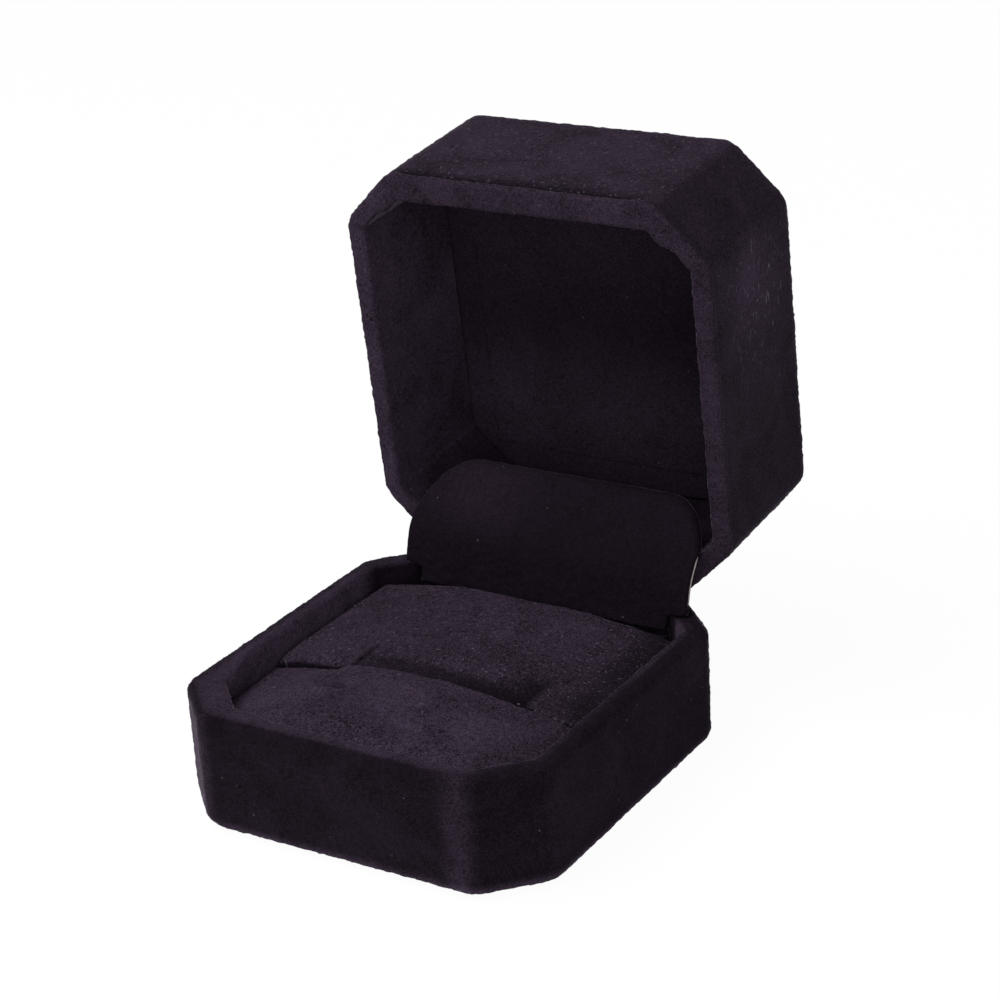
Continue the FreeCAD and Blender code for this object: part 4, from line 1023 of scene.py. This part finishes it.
def coil_path():
    """The middle of the spring's wire: left leg, coil and right leg."""
    rise = COIL_PITCH / (2 * math.pi)
    turned = COIL_TURNS * 2 * math.pi + math.radians(90) - LID_OPEN
    start = -math.pi / 2
    end = start + turned
    shares = (0.33, 0.66, 1.0)
    steps = 96
    bend = np.linspace(0, math.pi / 2, 7)

    def spot(angle):
        return np.array([rise * (angle - start - turned / 2), HINGE_Y + COIL_RADIUS * math.cos(angle),
                         HINGE_Z + COIL_RADIUS * math.sin(angle)])

    def heading(angle):
        way = np.array([rise, -COIL_RADIUS * math.sin(angle), COIL_RADIUS * math.cos(angle)])
        return way / np.linalg.norm(way)

    inward, outward = heading(start), heading(end)
    up = np.array([0, 0, 1])
    elbow = spot(start) - inward * (COIL_REACH - COIL_BEND) / inward[1]
    centre = elbow - up * COIL_BEND
    bent = [centre + COIL_BEND * (up * math.cos(t) - inward * math.sin(t)) for t in bend[::-1]]
    path = [bent[0] - up * COIL_LEG * share for share in reversed(shares)]
    path += bent
    path.append((elbow + spot(start)) / 2)
    path += [spot(start + turned * k / steps) for k in range(steps + 1)]
    tilt = np.array([0, -math.sin(end), math.cos(end)])
    away = np.array([0, tilt[2], -tilt[1]])
    elbow = spot(end) + outward * ((COIL_REACH + 0.3 - COIL_BEND) / (outward @ tilt))
    path.append((elbow + spot(end)) / 2)
    centre = elbow + away * COIL_BEND
    path += [centre + COIL_BEND * (outward * math.sin(t) - away * math.cos(t)) for t in bend]
    path += [path[-1] + away * COIL_LEG * share for share in shares]
    return np.array(path)


def spring_coil():
    """The torsion spring on the pin: its left leg stays with the base, its right leg goes with the lid."""
    path = coil_path()
    ways = np.gradient(path, axis=0)
    ways /= np.linalg.norm(ways, axis=1, keepdims=True)
    side = np.array([1.0, 0, 0])
    points = []
    for middle, way in zip(path, ways):
        side = side - way * (side @ way)
        side /= np.linalg.norm(side)
        other = np.cross(way, side)
        points += [middle + WIRE * (side * math.cos(a) + other * math.sin(a))
                   for a in np.linspace(0, 2 * math.pi, WIRE_SIDES, endpoint=False)]
    faces = [(a, d, c, b) for a, b, c, d in grid_faces(len(path), WIRE_SIDES, round_rows=True)]
    faces.append(tuple(range(WIRE_SIDES))[::-1])
    faces.append(tuple(range(len(points) - WIRE_SIDES, len(points))))
    piece = new_piece("spring_coil", np.array(points), faces, STEEL_LOOK)
    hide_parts("hinge_spring")
    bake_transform(piece)


spring_coil()


# Stage, light and camera


def stage():
    """A pale floor that keeps the shadow and looks white to the camera."""
    mesh = bpy.data.meshes.new("floor")
    reach, level = 3.0, -0.0001
    corners = [(-reach, -reach, level), (reach, -reach, level), (reach, reach, level), (-reach, reach, level)]
    mesh.from_pydata(corners, [], [(0, 1, 2, 3)])
    floor = bpy.data.objects.new("floor", mesh)
    bpy.context.scene.collection.objects.link(floor)
    look = Look("floor")
    for key, value in (("Base Color", (0.9, 0.9, 0.9, 1.0)), ("Roughness", 1.0), ("Specular IOR Level", 0.0)):
        look.join(value, look.shader.inputs[key])
    white = look.add("ShaderNodeEmission", {})["Emission"]
    path = look.add("ShaderNodeLightPath", {})
    seen = look.math("MULTIPLY", path["Is Camera Ray"], 0.96)
    look.split(seen, look.shader.outputs["BSDF"], white, "Material Output")
    mesh.materials.append(look.material)


def surround():
    """A surround that lights the box softly and looks white to the camera."""
    world = bpy.data.worlds.new("surround")
    bpy.context.scene.world = world
    tree = Tree(world)
    light = tree.nodes["Background"]
    light.inputs["Color"].default_value = WHITE
    light.inputs["Strength"].default_value = 0.35
    white = tree.add("ShaderNodeBackground", {"Color": WHITE})["Background"]
    path = tree.add("ShaderNodeLightPath", {})
    seen = tree.math("MAXIMUM", path["Is Camera Ray"], path["Is Glossy Ray"])
    seen = tree.math("MAXIMUM", seen, path["Is Transmission Ray"])
    tree.split(seen, light.outputs["Background"], white, "World Output")


def soft_lamp(name, place, aim, size, power):
    lamp = bpy.data.lights.new(name, "AREA")
    lamp.size = size
    lamp.energy = power
    piece = bpy.data.objects.new(name, lamp)
    piece.location = place
    piece.rotation_euler = (Vector(aim) - Vector(place)).to_track_quat("-Z", "Y").to_euler()
    bpy.context.scene.collection.objects.link(piece)


def photo_camera():
    """The photograph's camera, from the box's corners. Angles in degrees, lengths in millimetres."""
    azimuth, elevation, roll = math.radians(32.8), math.radians(23.02), math.radians(-3.67)
    distance, side_shift, up_shift = 346.58, -7.34, -10.28
    aim = Vector((0, 0, 28))
    focal_pixels, picture_pixels, sensor = 2642.14, 1000, 36
    back = Vector((math.sin(azimuth) * math.cos(elevation), -math.cos(azimuth) * math.cos(elevation),
                   math.sin(elevation)))
    right = Vector((math.cos(azimuth), math.sin(azimuth), 0))
    up = back.cross(right)
    right, up = (math.cos(roll) * right + math.sin(roll) * up, math.cos(roll) * up - math.sin(roll) * right)
    eye = aim + back * distance - right * side_shift - up * up_shift
    camera = bpy.data.cameras.new("photo_camera")
    camera.sensor_fit = "HORIZONTAL"
    camera.sensor_width = sensor
    camera.lens = focal_pixels * sensor / picture_pixels
    camera.clip_start = 0.01
    piece = bpy.data.objects.new("photo_camera", camera)
    turn = Matrix((right, up, back)).transposed().to_4x4()
    piece.matrix_world = Matrix.Translation(eye * MM) @ turn
    bpy.context.scene.collection.objects.link(piece)
    bpy.context.scene.camera = piece


stage()
surround()
soft_lamp("key", (-0.3, -0.35, 0.88), (0, 0, 0.03), 0.6, 9.0)
soft_lamp("fill", (0.55, -0.75, 0.4), (0, 0, 0.03), 0.6, 3.5)
photo_camera()
bpy.context.scene.view_settings.view_transform = "Standard"
